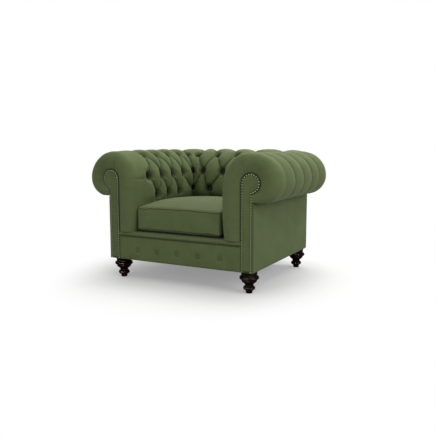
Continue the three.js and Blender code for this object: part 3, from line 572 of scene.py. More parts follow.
tuft = {
    "rowLow": 0.208,
    "rowMid": 0.321,
    "rowHigh": 0.456,
    "steps": 22,               # mesh steps across half a button pitch
    "cornerSteps": 40,
    "upperStep": 0.006,
    # how the puffs change on the way round the section
    "walk": [0.0, 0.12, 0.17, 0.208, 0.26, 0.321, 0.434, 0.5, 0.541, 0.66, 0.783, 0.94, 0.989],
    "foldDepth": [0.012, 0.02, 0.023, 0.024, 0.024, 0.024, 0.021, 0.02, 0.02, 0.016, 0.012, 0.005, 0.0],
    "roundness": [0.5, 0.5, 0.5, 0.5, 0.5, 0.48, 0.46, 0.47, 0.48, 0.42, 0.34, 0.26, 0.3],
    "crest": [0.0, 0.003, 0.003, 0.004, 0.004, 0.004, 0.003, 0.003, 0.0028, 0.002, 0.001, 0.0, 0.0],
    "cornerEase": [0.0, 0.0, 0.0, 0.0, 0.0, 0.0, 0.0, 0.6, 1.0, 0.8, 0.0, 0.0, 0.0],
    "fullness": [0.0, 0.0, 0.003, 0.009, 0.011, 0.009, 0.002, 0.001, 0.001, 0.005, 0.005, 0.001, 0.0],
    "cornerFillet": [0.034, 0.034, 0.034, 0.034, 0.034, 0.032, 0.018, 0.006, 0.0, 0.0, 0.0, 0.0, 0.0],
    "recess": [0.016, 0.018, 0.016, 0.003, 0.0, 0.0, 0.0, 0.0, 0.0, 0.0, 0.0, 0.0, 0.0],
    "sag": [0.0, 0.005, 0.007, 0.008, 0.008, 0.007, 0.003, 0.0, 0.0, 0.0, 0.0, 0.0, 0.0],
    "recessFull": 0.016,       # the recess that is as dark as recessShade
    "recessDrop": 0.022,       # how much lower the recess begins under the crest of a puff
    "recessShade": 0.75,
    "foldShade": 0.6,
    "deepest": 0.0415,
    "bowlReach": 0.039,        # the wide dimple round a button
    "bowlDepth": 0.03,
    "pitReach": [0.008, 0.028],
    "pitDepth": [0.021, 0.021, 0.015],     # low, middle and high row
    "shadeReach": [0.0135, 0.027],
    "pull": 0.0011,            # small pulls of the cloth, in a ring round each button
    "pullCount": 11,
    "pullRing": [0.032, 0.01],
    "unevenness": 0.0018,
    "unevenScale": 9,
    "channelTurn": 0.218,      # how far before the corner the arm's last channel lies, in radians
    "cornerPuff": 0.07,
    # how far from the corner these fade
    "cornerFade": 0.09,
    "easeFade": 0.06,
    "unevenFade": 0.05,
    "riseFade": 0.1,
    "cornerEaseWidth": 0.1,
    # where these begin or end, and over what length
    "slideFrom": [0.02, 0.15],
    "slideUntil": [0.516, 0.2],
    "slideWidth": 0.06,
    "outerFrom": [0.5, 0.1],
    "ridgeLength": 0.08,
    "easeLength": 0.2,
    "unevenEnd": 0.2,
    "markEnd": 0.3,
    "mitreGap": 0.0005,
    "tuckDepth": 0.002,        # the tuck from the front edge to the first button
    "tuckWidth": 0.006,
    "tuckDrop": 0.007,
    "tuckShade": 0.35,
}
# Each net of buttons: toCorner is the share by which the last fold runs on to the corner itself,
# shift is how much nearer to the corner the buttons stand and rise how much higher
armTuft = {
    "outerStart": 0.21,
    "outerEnd": 0.606,
    "pitch": 0.132,
    "corner": 0.66,
    "openFront": True,
    "fullness": 1.0,
    "recess": 0.5,
    "toCorner": ([0.208, 0.321], [1, 0]),
    "holeSize": 1.16,
    "holeSqueeze": 0.9,
    "ridge": 1.15,
    "shift": ([0.05, 0.14, 0.21, 0.54], [0.0, 0.026, 0.024, 0.0]),
    "rise": ([0.0, 0.208, 0.321, 0.456, 0.62], [0.0, -0.008, -0.009, 0.019, 0.0]),
    "fullFrom": [0.05, 0.09],  # from the front edge on
    "recessFrom": [0.1, 0.2],
    "bulgeAt": [0.03, 0.07],
    "bulgeUntil": [0.54, 0.2],
}
backTuft = {
    "outerStart": 0.0,
    "outerEnd": 0.283,
    "pitch": 0.1415,
    "corner": 0.283,
    "openFront": False,
    "fullness": 1.6,
    "recess": 1.0,
    "toCorner": ([0.3209, 0.321], [1, 0]),
    "holeSize": 1.08,
    "holeSqueeze": 1.12,
    "ridge": 1.5,
    "outerFull": 1.0,
    "lean": 0.055,             # the roll's puffs lean to the left
    "leanLength": 0.085,
    "leanUntil": [0.272, 0.13],
    "ease": ([0.0], [0.0]),
    "easeTo": 0.0,
    "shift": ([0.0, 0.07, 0.15, 0.25], [0.0, 0.0, 0.03, 0.0]),
    "rise": ([0.0], [0.0]),
}
rowLow, rowMid, rowHigh = tuft["rowLow"], tuft["rowMid"], tuft["rowHigh"]
# The soft fold over the roll near the arm's front end
endFold = {"at": 0.083, "width": 0.03, "share": 0.5, "from": rollTop - 0.06, "fade": 0.12}


def swell(x):
    return 1 - (1 - np.clip(x, 0, 1)) ** 2


def smoothStep(x):
    x = np.clip(x, 0, 1)
    return x * x * (3 - 2 * x)


def ramp(x, start, length):
    return smoothStep((x - start) / length)


def fall(x, end, length):
    return smoothStep((end - x) / length)


def bell(x, width):
    return np.exp(-((x / width) ** 2))


def along(table, v):
    return np.interp(v, tuft["walk"], tuft[table])


def cornerFolds(v):
    # where the folds round the rear corner run: the corner itself as measured along the arm and
    # along the back, how far before it the arm's last channel lies, and the back's first fold
    fillet = along("cornerFillet", v)
    reach = fillet + np.maximum(sectionAt(v)[0], 0)
    backEnd = backTuft["corner"] - fillet + reach * mitre
    up = np.clip((v - rowMid) / (rowHigh - rowMid), 0, 1)
    down = np.clip((rowMid - v) / (rowMid - rowLow), 0, 1)
    highReach = along("cornerFillet", rowHigh) + float(sectionAt(rowHigh)[0])
    before = tuft["channelTurn"] * np.where(v > rowHigh, reach, highReach * up)
    half = backTuft["pitch"] / 2
    middle = backTuft["corner"] - half
    line = np.where(v > rowMid, middle + half * up, middle + (backEnd - middle) * down)
    return armTuft["corner"] - fillet + reach * mitre, backEnd, before, line


def puffShare(u, v, toMitre, layout):
    # 0 on the folds, 1 on the crest of a puff
    half = layout["pitch"] / 2
    last = round((layout["outerEnd"] - layout["outerStart"]) / layout["pitch"])
    armEnd, backEnd, before, line = cornerFolds(v)
    onArm = layout["openFront"]
    rise = np.abs(v - rowMid) / np.where(v < rowMid, rowMid - rowLow, rowHigh - rowMid)
    up = np.clip((v - rowMid) / (rowHigh - rowMid), 0, 1)
    column = np.clip(np.round((u - layout["outerStart"]) / layout["pitch"]), 0, last)
    offset = u - layout["outerStart"] - column * layout["pitch"]
    toEnd = (armEnd - before - layout["outerEnd"]) / (1 + up) if onArm else half
    a = np.where((column == last) & (offset > 0), offset / toEnd, offset / half)
    fromMiddle = offset + half
    corner = fromMiddle / np.maximum(fromMiddle + toMitre, 1e-6) - 1
    a = np.where(column == last, a + (corner - a) * np.interp(v, *layout["toCorner"]), a)
    size = np.abs(a)
    diamond = swell(1 - np.abs(size + rise)) * swell(1 - np.abs(size - rise))
    frontEnd = (column == 0) & (offset < 0) & onArm
    strip = swell(rise - 1 + size) * swell(size)
    strip = strip * np.where(frontEnd, 1.0, swell(rise + 1 - size) * swell(2 - size))
    share = np.where(size + rise <= 1, diamond, strip)
    # the long puff that goes round the corner
    fromLeft = before - toMitre if onArm else toMitre + before
    fromRight = toMitre + backEnd - line if onArm else u - line
    tongue = swell(fromLeft / tuft["cornerPuff"]) * swell(fromRight / tuft["cornerPuff"])
    inTongue = (fromLeft > 0) & (v > rowMid) if onArm else (fromRight > 0) & (v > rowLow)
    return np.where(inTongue, tongue, share)


def buttonPlaces(layout):
    half = layout["pitch"] / 2
    count = round((layout["outerEnd"] - layout["outerStart"]) / layout["pitch"]) + 1
    outer = [layout["outerStart"] + k * layout["pitch"] for k in range(count)]
    middle = [u - half for u in outer] if layout["openFront"] else [u + half for u in outer[:-1]]
    # in the low row the corner has its own hole
    rows = zip((outer[:-1], middle, outer), (rowLow, rowMid, rowHigh), tuft["pitDepth"])
    return [(u, v, pit) for row, v, pit in rows for u in row]


def slideAt(layout, u, v):
    # how much nearer to the corner the lower rows stand than the even pitch puts them
    low = ramp(v, *tuft["slideFrom"]) * fall(v, *tuft["slideUntil"])
    if not layout["openFront"]:
        low = bell(v - rowLow, tuft["slideWidth"])
    return np.interp(u, *layout["shift"]) * low


def riseAt(layout, v):
    return np.interp(v, *layout["rise"])


def smoothRows(values):
    padded = np.pad(values, ((4, 4), (0, 0)), mode="edge")
    return sum(padded[k: k + len(values)] for k in range(9)) / 9


def unevenAt(u, v, seed):
    # slow noise, taken on each fourth row and smoothed between them
    scale = tuft["unevenScale"]
    rows = [[noise.noise(Vector((scale * a + seed, scale * b, seed))) for a in row]
            for row, b in zip(u[::4], v[::4, 0])]
    return smoothRows(np.repeat(np.array(rows), 4, axis=0)[: len(v)])


def pressHoles(layout, u, v, toMitre, depth, seed):
    # dimple and pit of every button: the depth with them, the pulls round them, and the painted shade in and
    # round the pits
    backEnd, before, line = cornerFolds(v)[1:]
    low, middle, high = tuft["pitDepth"]
    size, squeeze = layout["holeSize"], layout["holeSqueeze"]
    holes = [(u - bu, bv, pit, tuft["pull"], size, squeeze) for bu, bv, pit in buttonPlaces(layout)]
    holes += [(toMitre, rowLow, low, 0.0, 1.0, 2.0), (toMitre, rowMid, middle, 0.0, 1.0, 2.0)]
    if layout["openFront"]:
        holes += [(toMitre + way, rowHigh, high, 0.0, 0.85, 1.2) for way in (-before, backEnd - line)]
    else:
        holes.append((toMitre + before, rowHigh, high, 0.0, 0.85, 1.2))
    pulls = shades = 0.0
    ringAt, ringWidth = tuft["pullRing"]
    for k, (sideways, bv, pit, pull, size, squeeze) in enumerate(holes):
        r = np.hypot(sideways * squeeze, v - bv) / size
        wide = np.clip(1 - (r / tuft["bowlReach"]) ** 2, 0, 1) ** 1.5
        core, shade = (1 - smoothStep((r - near) / (far - near))
                       for near, far in (tuft["pitReach"], tuft["shadeReach"]))
        bowl = (np.maximum(depth, 0) ** 4 + (tuft["bowlDepth"] * wide) ** 4) ** 0.25
        depth = np.where(wide > 0, bowl, depth) + pit * core
        turn = np.arctan2(v - bv, sideways)
        pulls = pulls + pull * bell(r - ringAt, ringWidth) * np.cos(tuft["pullCount"] * turn + seed + k)
        shades = np.maximum(shades, shade)
    return np.minimum(depth, tuft["deepest"] + crownAt(v)), pulls, shades


def tuftedSurface(layout, stand, past, v, seed):
    # stand and past: how far along the wall and how far round the rear corner, for each column.
    # Returns grids: place along and across the wall, height, painted shade mark, puff share, u and v.
    stand, v = np.meshgrid(stand, v)
    past = np.broadcast_to(past, stand.shape)
    fillet = along("cornerFillet", v)
    tail = layout["corner"] - layout["pitch"] * 0.4
    drawn = tail + (stand - tail) * (layout["corner"] - fillet - tail) / (layout["corner"] - tail)
    run = np.where(stand > tail, drawn, stand)
    reach = fillet + np.maximum(sectionAt(v)[0], 0)
    u = run + reach * past
    toMitre = layout["corner"] - fillet - run + reach * (mitre - past)
    awayFromCorner = smoothStep(toMitre / tuft["cornerFade"])
    share = puffShare(u, v, toMitre, layout)
    if layout["openFront"]:
        fade = endFold["share"] * np.clip((v - endFold["from"]) / endFold["fade"], 0, 1)
        share = share * (1 - fade * (1 - swell(np.abs(u - endFold["at"]) / endFold["width"])))
    full = share ** along("roundness", v)
    fullness = along("fullness", v) * (1 + (layout["fullness"] - 1) * awayFromCorner)
    fullness = fullness * (1 + (layout["outerFull"] - 1) * ramp(v, *tuft["outerFrom"]) * awayFromCorner)
    recess = along("recess", v + tuft["recessDrop"] * full) * layout["recess"]
    if layout["openFront"]:
        bulgeAt, bulgeWidth = layout["bulgeAt"]
        bulge = layout["frontBulge"] * bell(u - bulgeAt, bulgeWidth) * fall(v, *layout["bulgeUntil"])
        fullness = fullness * ramp(u, *layout["fullFrom"]) + bulge
        recess = recess * ramp(u, *layout["recessFrom"])
    eased = np.interp(v, *layout["ease"]) * smoothStep(toMitre / tuft["easeFade"])
    eased = eased * (1 - ramp(u, layout["easeTo"], tuft["easeLength"]))
    eased = eased + layout["cornerEase"] * along("cornerEase", v) * bell(toMitre, tuft["cornerEaseWidth"])
    uneven = tuft["unevenness"] * unevenAt(u, v, seed) * smoothStep(toMitre / tuft["unevenFade"])
    uneven = uneven * full * np.clip((sectionEnd - v) / tuft["unevenEnd"], 0, 1)
    raised = (fullness + along("crest", v)) * full - eased + uneven
    ridge = 1 + (layout["ridge"] - 1) * ramp(v, rowHigh, tuft["ridgeLength"]) * awayFromCorner
    depth = (along("foldDepth", v) * ridge - fullness) * (1 - full) + recess
    # painted shade: darker in the creases between puffs and in the recess under the low row
    mark = tuft["foldShade"] * (1 - full) ** 2 * np.clip((sectionEnd - v) / tuft["markEnd"], 0, 1)
    mark = np.maximum(mark, tuft["recessShade"] * np.clip(recess / tuft["recessFull"], 0, 1))
    if layout["openFront"]:
        beforeFirst = u < layout["outerStart"] - layout["pitch"] / 2
        tuck = bell(v - rowMid + tuft["tuckDrop"], tuft["tuckWidth"]) * beforeFirst
        depth = depth + tuft["tuckDepth"] * tuck
        # painted shade along the tuck
        mark = np.maximum(mark, tuft["tuckShade"] * tuck)
    depth, pulls, shades = pressHoles(layout, u, v, toMitre, depth, seed)
    slid = v - along("sag", v) * full + riseAt(layout, v) * smoothStep(toMitre / tuft["riseFade"])
    inset, height, outInset, outHeight = sectionAt(slid)
    lift = raised + pulls - depth
    inset = inset + lift * outInset
    alongWall = run + slideAt(layout, u, v) + (fillet + inset) * np.sin(past)
    acrossWall = inset * np.cos(past) - fillet * (1 - np.cos(past))
    return alongWall, acrossWall, height + lift * outHeight, np.maximum(mark, shades), share, u, v


def rowStations(extra=()):
    steps = tuft["steps"]
    cell = (rowMid - rowLow) / steps
    low = np.linspace(0, rowLow, round(rowLow / cell) + 1)
    middle = np.linspace(rowLow, rowMid, steps + 1)
    high = np.linspace(rowMid, rowHigh, steps + 1)
    upper = np.linspace(rowHigh, sectionEnd, round((sectionEnd - rowHigh) / tuft["upperStep"]) + 1)
    return np.array(sorted(set(np.round(np.concatenate([low, middle, high, upper, extra]), 6))))


def columnStations(layout, start):
    steps = tuft["steps"]
    half = layout["pitch"] / 2
    body = np.linspace(start, layout["outerEnd"], round((layout["outerEnd"] - start) / half * steps) + 1)
    tail = np.linspace(layout["outerEnd"], layout["corner"], steps + 1)[1:] if layout["openFront"] else []
    turns = np.linspace(0, mitre, tuft["cornerSteps"] + 1)[1:]
    stand = np.concatenate([body, tail, np.full(len(turns), layout["corner"])])
    return stand, np.concatenate([np.zeros(len(body) + len(tail)), turns])


def foldFaces(share):
    # each mesh cell is cut in two so that a fold runs along the cut
    rows, columns = share.shape
    faces = []
    first = share[:-1, :-1] + share[1:, 1:]
    second = share[:-1, 1:] + share[1:, :-1]
    for r in range(rows - 1):
        for c in range(columns - 1):
            a = r * columns + c
            b, d, e = a + 1, a + columns, a + columns + 1
            if abs(first[r, c] - second[r, c]) < 1e-4:
                faces.append((a, b, e, d))
            elif first[r, c] < second[r, c]:
                faces += [(a, b, e), (a, e, d)]
            else:
                faces += [(a, b, d), (b, e, d)]
    return faces


keyhole = {
    "inset": 0.1,
    "stem": 0.059,
    "lobe": 0.051,
    "lobeDrop": 0.003,
    "gap": 0.001,
}
lobeCentre = seatHalf + keyhole["inset"] + keyhole["lobe"]
lobeHeight = rollCentre - keyhole["lobeDrop"]
openRadius = keyhole["lobe"] + keyhole["gap"]
neckTurn = math.acos((keyhole["stem"] - keyhole["lobe"] + keyhole["gap"]) / openRadius)

armFront = {
    "round": 0.037,            # depth of the soft front end
    "proud": 0.011,            # how far the ring stands out
    "dish": 0.004,
    "shoulder": 0.5,           # share of the ring taken by the rounding
    "closing": 0.75,           # share of the rounding given up where the ring ends on the outside panel
    "closeBefore": 0.06,
    "closeLength": 0.09,
    "steps": 30,
    "seamWidth": 0.0022,
    "seamDepth": 0.0022,
    "seamFrom": [0.42, 0.05],  # share of the ring where the seam begins, and over what share
    "pleatsFrom": 0.8,         # share of the wall
    "pleats": 0.0007,
    "pleatCount": 26,
    "edgeShade": 0.8,
    "underFade": 0.1,
    "lobeShadeWidth": 0.42,
    "lobeShadeLength": 0.12,
    "clothReach": 0.12,        # cloth from the rim to the facing
}

# Where the two arms differ: the bulge of the front end, the roll's fullness outside, the seam and
# the painted shade on the front ring, and how much the roll's top is eased down, by section and length
ownArm = {
    "left": {
        "frontBulge": -0.003,
        "outerFull": 0.0,
        "seamAt": rollTop - 0.066,
        "seamShare": 1.0,
        "lobeShade": 0.3,
        "ease": ([0.44, 0.53, 0.64, 0.74, 0.9], [0.0, 0.005, 0.007, 0.004, 0.0]),
        "easeTo": 0.08,
        "cornerEase": 0.001,
    },
    "right": {
        "frontBulge": 0.008,
        "outerFull": 1.6,
        "seamAt": rollTop - 0.08,
        "seamShare": 0.5,
        "lobeShade": 0.1,
        "ease": ([0.44, 0.52, 0.6, 0.66, 0.72], [0.0, 0.007, 0.007, 0.004, 0.0]),
        "easeTo": 0.7,
        "cornerEase": 0.0065,
    },
}

# The covers' inner face, against the frame
innerV = np.linspace(0, sectionEnd, 24)
innerSection = sectionAt(innerV)
padThickness = chairSize["padThickness"]
cavityInset = np.where(innerV < wallLength, padThickness, innerSection[0] - padThickness * innerSection[2])
cavityHeight = innerSection[1] - padThickness * innerSection[3]


def openingEdge(v):
    # inset, height and turn of the edge where the cloth goes under the arm facing
    turn = np.pi - (v - wallLength) / rollRadius
    under = np.clip((v - rollEnd) / (quarterTurn * underRadius), 0, 1)
    angle = np.where(v < rollEnd, turn, -neckTurn * under)
    onWall = v < wallLength
    onLobe = lobeCentre - seatHalf + openRadius * np.cos(angle), lobeHeight + openRadius * np.sin(angle)
    inset = np.where(onWall, keyhole["inset"] - keyhole["gap"], onLobe[0])
    height = np.where(onWall, seatLevel + (lobeHeight - seatLevel) * v / wallLength, onLobe[1])
    return inset, height, angle


def faceFall(share, v):
    # how far the front end lies behind the ring's foremost line
    shoulder = armFront["shoulder"]
    rounding = np.clip(1 - share / shoulder, 0, 1)
    back = (armFront["round"] + armFront["proud"]) * (1 - np.sqrt(1 - rounding ** 2))
    closing = ramp(v, underEnd - armFront["closeBefore"], armFront["closeLength"])
    back = back * (1 - armFront["closing"] * closing)[:, None]
    dished = np.clip((share - shoulder) / (1 - shoulder), 0, 1) ** 2
    return back + (armFront["dish"] + armFront["proud"]) * dished


def armCover(word, side, seed):
    layout = {**armTuft, **ownArm[word]}
    v = rowStations(layout["seamAt"] + armFront["seamWidth"] * np.arange(-2, 3))
    stand, past = columnStations(layout, armFront["round"])
    alongWall, acrossWall, height, mark, share, u, vGrid = tuftedSurface(layout, stand, past, v, seed)
    alongWall[:, -1] -= tuft["mitreGap"]
    # the soft front end, from the rim in to the facing
    face = np.tile(np.linspace(1, 0, armFront["steps"] + 1)[:-1], (len(v), 1))
    edgeInset, edgeHeight, angle = (k[:, None] for k in openingEdge(v))
    faceX = acrossWall[:, :1] * (1 - face) + edgeInset * face
    faceZ = height[:, :1] * (1 - face) + edgeHeight * face
    faceY = faceFall(face, v) - armFront["proud"]
    onRing = ((v > wallLength * armFront["pleatsFrom"]) & (v < underEnd))[:, None]
    faceY += onRing * armFront["pleats"] * np.cos(armFront["pleatCount"] * angle) * face ** 3
    seamStart, seamFade = armFront["seamFrom"]
    seam = bell(v - layout["seamAt"], armFront["seamWidth"])[:, None] * layout["seamShare"]
    seam = seam * np.clip((face - seamStart) / seamFade, 0, 1)
    faceY += armFront["seamDepth"] * seam
    # painted shade: the seam, the rim where the cloth goes under the facing and a band beside the lobe are
    # drawn darker, fading out on the underside
    under = (1 - ramp(v, rollEnd, armFront["underFade"]))[:, None]
    pastTop = ramp(v, rollTop, armFront["lobeShadeLength"])[:, None]
    lobeShade = layout["lobeShade"] * bell(1 - face, armFront["lobeShadeWidth"]) * pastTop * under
    edgeMark = np.clip((face - 0.9) / 0.1, 0, 1) * armFront["edgeShade"] * under
    marks = np.hstack([np.maximum(np.maximum(seam, edgeMark), lobeShade), mark])
    faceU = armFront["round"] - face * armFront["clothReach"]
    places = np.stack([np.hstack([faceU, u]), np.hstack([vGrid[:, :1] * np.ones_like(face), vGrid])], axis=-1)
    x, y = seatHalf + np.hstack([faceX, acrossWall]), frontPlane + np.hstack([faceY, alongWall])
    points = np.stack([side * x, y, np.hstack([faceZ, height])], axis=-1)
    faces = foldFaces(np.hstack([np.ones_like(face), share]))
    edge = openingEdge(innerV)
    postBack = np.full(len(innerV), frontPlane + chairSize["postDepth"])
    innerColumns = [(seatHalf + edge[0], postBack, edge[1]), (seatHalf + cavityInset, postBack, cavityHeight)]
    for turn in (0.0, mitre / 2, mitre):
        x, y = seatHalf + cavityInset * math.cos(turn), cornerY + cavityInset * math.sin(turn)
        innerColumns.append((x, y, cavityHeight))
    inner = np.stack([np.stack([side * x, y, z], axis=-1) for x, y, z in innerColumns], axis=1)
    inner[:, -1, 1] -= tuft["mitreGap"]
    wallReach = (stand - armFront["round"]) / (layout["corner"] - armFront["round"])
    reach = np.concatenate([np.linspace(0, 0.05, face.shape[1] + 1)[:-1], 0.05 + 0.85 * wallReach])
    reach[-tuft["cornerSteps"]:] = 0.9 + 0.1 * np.linspace(0, 1, tuft["cornerSteps"] + 1)[1:]
    innerReach = [0, 0.05, 0.9, 0.95, 1]
    return closeCover(f"arm_cover_{word}", points, faces, inner, reach, innerReach, v, places, marks)


def closeCover(name, points, faces, inner, reach, innerReach, v, places, marks):
    # outer and inner face joined along their four edges
    rows, columns = points.shape[:2]
    innerRows, innerColumns = inner.shape[:2]
    start = rows * columns
    allFaces = faces + [f[::-1] for f in gridFaces(innerRows, innerColumns, start)]
    bottom, innerBottom = np.arange(columns), start + np.arange(innerColumns)
    top, innerTop = bottom + (rows - 1) * columns, innerBottom + (innerRows - 1) * innerColumns
    first, innerFirst = np.arange(rows) * columns, start + np.arange(innerRows) * innerColumns
    last, innerLast = first + columns - 1, innerFirst + innerColumns - 1
    allFaces += [f[::-1] for f in zipChains(bottom, reach, innerBottom, innerReach)]
    allFaces += zipChains(top, reach, innerTop, innerReach)
    allFaces += zipChains(first, v, innerFirst, innerV)
    allFaces += [f[::-1] for f in zipChains(last, v, innerLast, innerV)]
    innerPoints = inner.reshape(-1, 3)
    everyPoint = np.concatenate([points.reshape(-1, 3), innerPoints])
    spot = np.concatenate([places.reshape(-1, 2), innerPoints[:, 1:]])
    paintedShade = np.concatenate([marks.ravel(), np.zeros(len(innerPoints))])
    return makeMesh(name, everyPoint, turnOutward(everyPoint, allFaces), coverCloth, spot, paintedShade)


def backCover(seed):
    v = rowStations()
    stand, past = columnStations(backTuft, 0.0)
    halves = []
    for side, word in ((-1, "left"), (1, "right")):
        layout = {**backTuft, "cornerEase": ownArm[word]["cornerEase"]}
        alongWall, acrossWall, *rest, share, u, vGrid = tuftedSurface(layout, stand, past, v, seed + side)
        lean = ramp(vGrid, rowHigh, backTuft["leanLength"]) * fall(u, *backTuft["leanUntil"])
        alongWall = side * alongWall - backTuft["lean"] * lean
        halves.append([alongWall, cornerY + acrossWall, *rest, share, side * u, vGrid])
    joined = [np.hstack([left[:, :0:-1], (left[:, :1] + right[:, :1]) / 2, right[:, 1:]])
              for left, right in zip(*halves)]
    marks, share, u, vGrid = joined[3:]
    innerColumns = []
    for side, turn in ((-1, mitre), (-1, mitre / 2), (-1, 0.0), (1, 0.0), (1, mitre / 2), (1, mitre)):
        x, y = side * (seatHalf + cavityInset * math.sin(turn)), cornerY + cavityInset * math.cos(turn)
        innerColumns.append((x, y, cavityHeight))
    inner = np.stack([np.stack(c, axis=-1) for c in innerColumns], axis=1)
    wallReach = stand[stand < backTuft["corner"]] / backTuft["corner"] * 0.8
    right = np.concatenate([wallReach, np.linspace(0.8, 1.0, len(stand) - len(wallReach))])
    reach = np.concatenate([-right[:0:-1], right])
    return closeCover("back_cover", np.stack(joined[:3], axis=-1), foldFaces(share), inner, reach,
                      [-1, -0.9, -0.8, 0.8, 0.9, 1], v, np.stack([u, vGrid], axis=-1), marks)


# the buttons are covered in the same cloth and drawn darker with painted shade, as they sit deep in the pits
tuftButton = {"radius": 0.0105, "dome": 0.005, "raise": 0.004, "segments": 20, "shade": 0.75}
# Shares of the radius and of the dome, from the rim up
buttonProfile = [(0.8, -0.35), (1.0, 0.0), (0.97, 0.35), (0.85, 0.68), (0.6, 0.9), (0.3, 0.98)]
nailProfile = [(0.9, -0.1), (1.0, 0.08), (0.93, 0.42), (0.76, 0.72), (0.5, 0.92), (0.25, 0.99)]


def ring(x, y, z, radius, segments):
    turns = fullTurn * np.arange(segments) / segments
    return np.stack([x + radius * np.cos(turns), y + radius * np.sin(turns), np.full(segments, z)], axis=-1)


def domePoints(radius, dome, segments, profile):
    # rings of a covered button or nail head, standing on z = 0, then its pole
    rings = [ring(0, 0, dome * h, radius * r, segments) for r, h in profile]
    faces = gridFaces(len(rings), segments, closed=True)
    top = len(rings) * segments
    for k in range(segments):
        after = (k + 1) % segments
        faces += [(top - segments + k, top - segments + after, top), (after, k, top + 1)]
    return np.concatenate([*rings, [(0, 0, dome), (0, 0, profile[0][1] * dome)]]), faces


def scatterDomes(name, places, base, faces, material, paintedDomeShade=0.0):
    # one mesh of many domes; each place is a point and the way that the dome faces
    points, allFaces, spots = [], [], []
    for spot, way in places:
        turn = Vector((0, 0, 1)).rotation_difference(Vector(way)).to_matrix()
        allFaces += [tuple(len(points) + k for k in f) for f in faces]
        points.extend(base @ np.array(turn).T + np.array(spot))
        spots.extend(base[:, :2] + np.array(spot)[:2])
    marks = np.full(len(points), paintedDomeShade)
    return makeMesh(name, np.array(points), allFaces, material, np.array(spots), marks)


def tuftButtons(name, layout, sides):
    base, faces = domePoints(tuftButton["radius"], tuftButton["dome"], tuftButton["segments"], buttonProfile)
    places = []
    for u, v, pit in buttonPlaces(layout):
        inset, height, outInset, outHeight = (float(k) for k in sectionAt(v + riseAt(layout, v)))
        lift = tuftButton["raise"] - min(tuft["deepest"] + float(crownAt(v)), pit + tuft["bowlDepth"])
        u += float(slideAt(layout, u, v))
        inset, height = inset + lift * outInset, height + lift * outHeight
        for side in sides:
            if layout["openFront"]:
                spot = side * (seatHalf + inset), frontPlane + u, height
                places.append((spot, (side * outInset, 0, outHeight)))
            elif u > 0 or side > 0:
                places.append(((side * u, cornerY + inset, height), (0, outInset, outHeight)))
    return scatterDomes(name, places, base, faces, coverCloth, tuftButton["shade"])


for word, side, seed in (("left", -1, 3.7), ("right", 1, 11.3)):
    finishPiece(armCover(word, side, seed), "chair", [f"arm_roll_{word}"])
    finishPiece(tuftButtons(f"arm_buttons_{word}", armTuft, [side]), "chair")
    print("arm upholstered:", word)
finishPiece(backCover(21.9), "chair", ["back_roll"])
finishPiece(tuftButtons("back_buttons", backTuft, [-1, 1]), "chair")
print("back upholstered")


# Arm facings and nails

facing = {
    "front": -0.483,
    "back": -0.471,
    "setBack": 0.0022,
    "crown": 0.004,
    "edgeRound": 0.0025,
    "edgeShade": [0.55, 0.003],
    "nailLine": 0.0052,
    "nailDip": [0.0008, 0.0025],
    "nailShade": [0.97, 0.0047],           # painted shade: the cloth between and beside the nails is drawn dark
    "sideShade": [0.08, 0.05],
    "rings": [0.0, 0.0007, 0.0018, 0.0035, 0.0052, 0.007, 0.0095, 0.013, 0.017, 0.021, 0.025],
}
nails = {
    "pitch": 0.0137,
    "radius": 0.0041,
    "height": 0.0026,
    "proud": 0.0009,
    "lean": 0.07,
    "fromBottom": 0.006,
    "segments": 12,
}


def keyholeLine(inset, bottom, count=220):
    # inset and height along the keyhole's outline, up, round the lobe and down
    radius = keyhole["lobe"] - inset
    outerEdge = seatHalf + keyhole["inset"] + keyhole["stem"] - inset
    innerEdge = seatHalf + keyhole["inset"] + inset
    neck = -math.acos((outerEdge - lobeCentre) / radius)
    neckHeight = lobeHeight + radius * math.sin(neck)
    straight = count // 3
    left = [(innerEdge, bottom + (lobeHeight - bottom) * k / straight) for k in range(straight)]
    turns = [math.pi + (neck - math.pi) * k / (count - 2 * straight) for k in range(count - 2 * straight + 1)]
    lobe = [(lobeCentre + radius * math.cos(turn), lobeHeight + radius * math.sin(turn)) for turn in turns]
    right = [(outerEdge, neckHeight + (bottom - neckHeight) * k / straight) for k in range(1, straight + 1)]
    return np.array(left + lobe + right)


def armFacing(side, word):
    dip, dipWidth = facing["nailDip"]
    stations = [(0, bodyBottom, facing["back"])]
    for inset in facing["rings"]:
        edge = facing["edgeRound"] * (1 - min(inset / facing["edgeRound"], 1)) ** 2
        crown = facing["crown"] * (1 - (1 - inset / facing["rings"][-1]) ** 2)
        depth = facing["front"] + facing["setBack"] + edge - crown
        depth += dip * bell(inset - facing["nailLine"], dipWidth)
        stations.append((inset, bodyBottom + inset, depth))
    lines = [keyholeLine(inset, bottom) for inset, bottom, depth in stations]
    size = len(lines[0])
    points = np.concatenate([np.column_stack([side * line[:, 0], np.full(size, depth), line[:, 1]])
                             for line, (inset, bottom, depth) in zip(lines, stations)])
    faces = gridFaces(len(lines), size, closed=True)
    last = (len(lines) - 1) * size
    for k in range(size // 2 - 1):
        faces.append((last + k, last + k + 1, last + size - 2 - k, last + size - 1 - k))
        faces.append((size - 1 - k, size - 2 - k, k + 1, k))
    tip = size // 2
    faces += [(last + tip - 1, last + tip, last + tip + 1), (tip + 1, tip, tip - 1)]
    insets = np.repeat([0] + facing["rings"], size)
    (edgeShade, edgeReach), (sideShade, sideReach), (nailShade, nailReach) = (
        facing[key] for key in ("edgeShade", "sideShade", "nailShade"))
    # painted shade: the facing darker to the right of the lobe's centre, at its edge and along the nail line
    toSide = smoothStep((points[:, 0] - side * lobeCentre) / sideReach + 0.5)
    paintedShade = np.maximum(edgeShade * bell(insets, edgeReach), sideShade * toSide)
    paintedShade = np.maximum(paintedShade, nailShade * bell(insets - facing["nailLine"], nailReach))
    faces = turnOutward(points, faces)
    return makeMesh(f"arm_facing_cover_{word}", points, faces, coverCloth, points[:, [0, 2]], paintedShade)


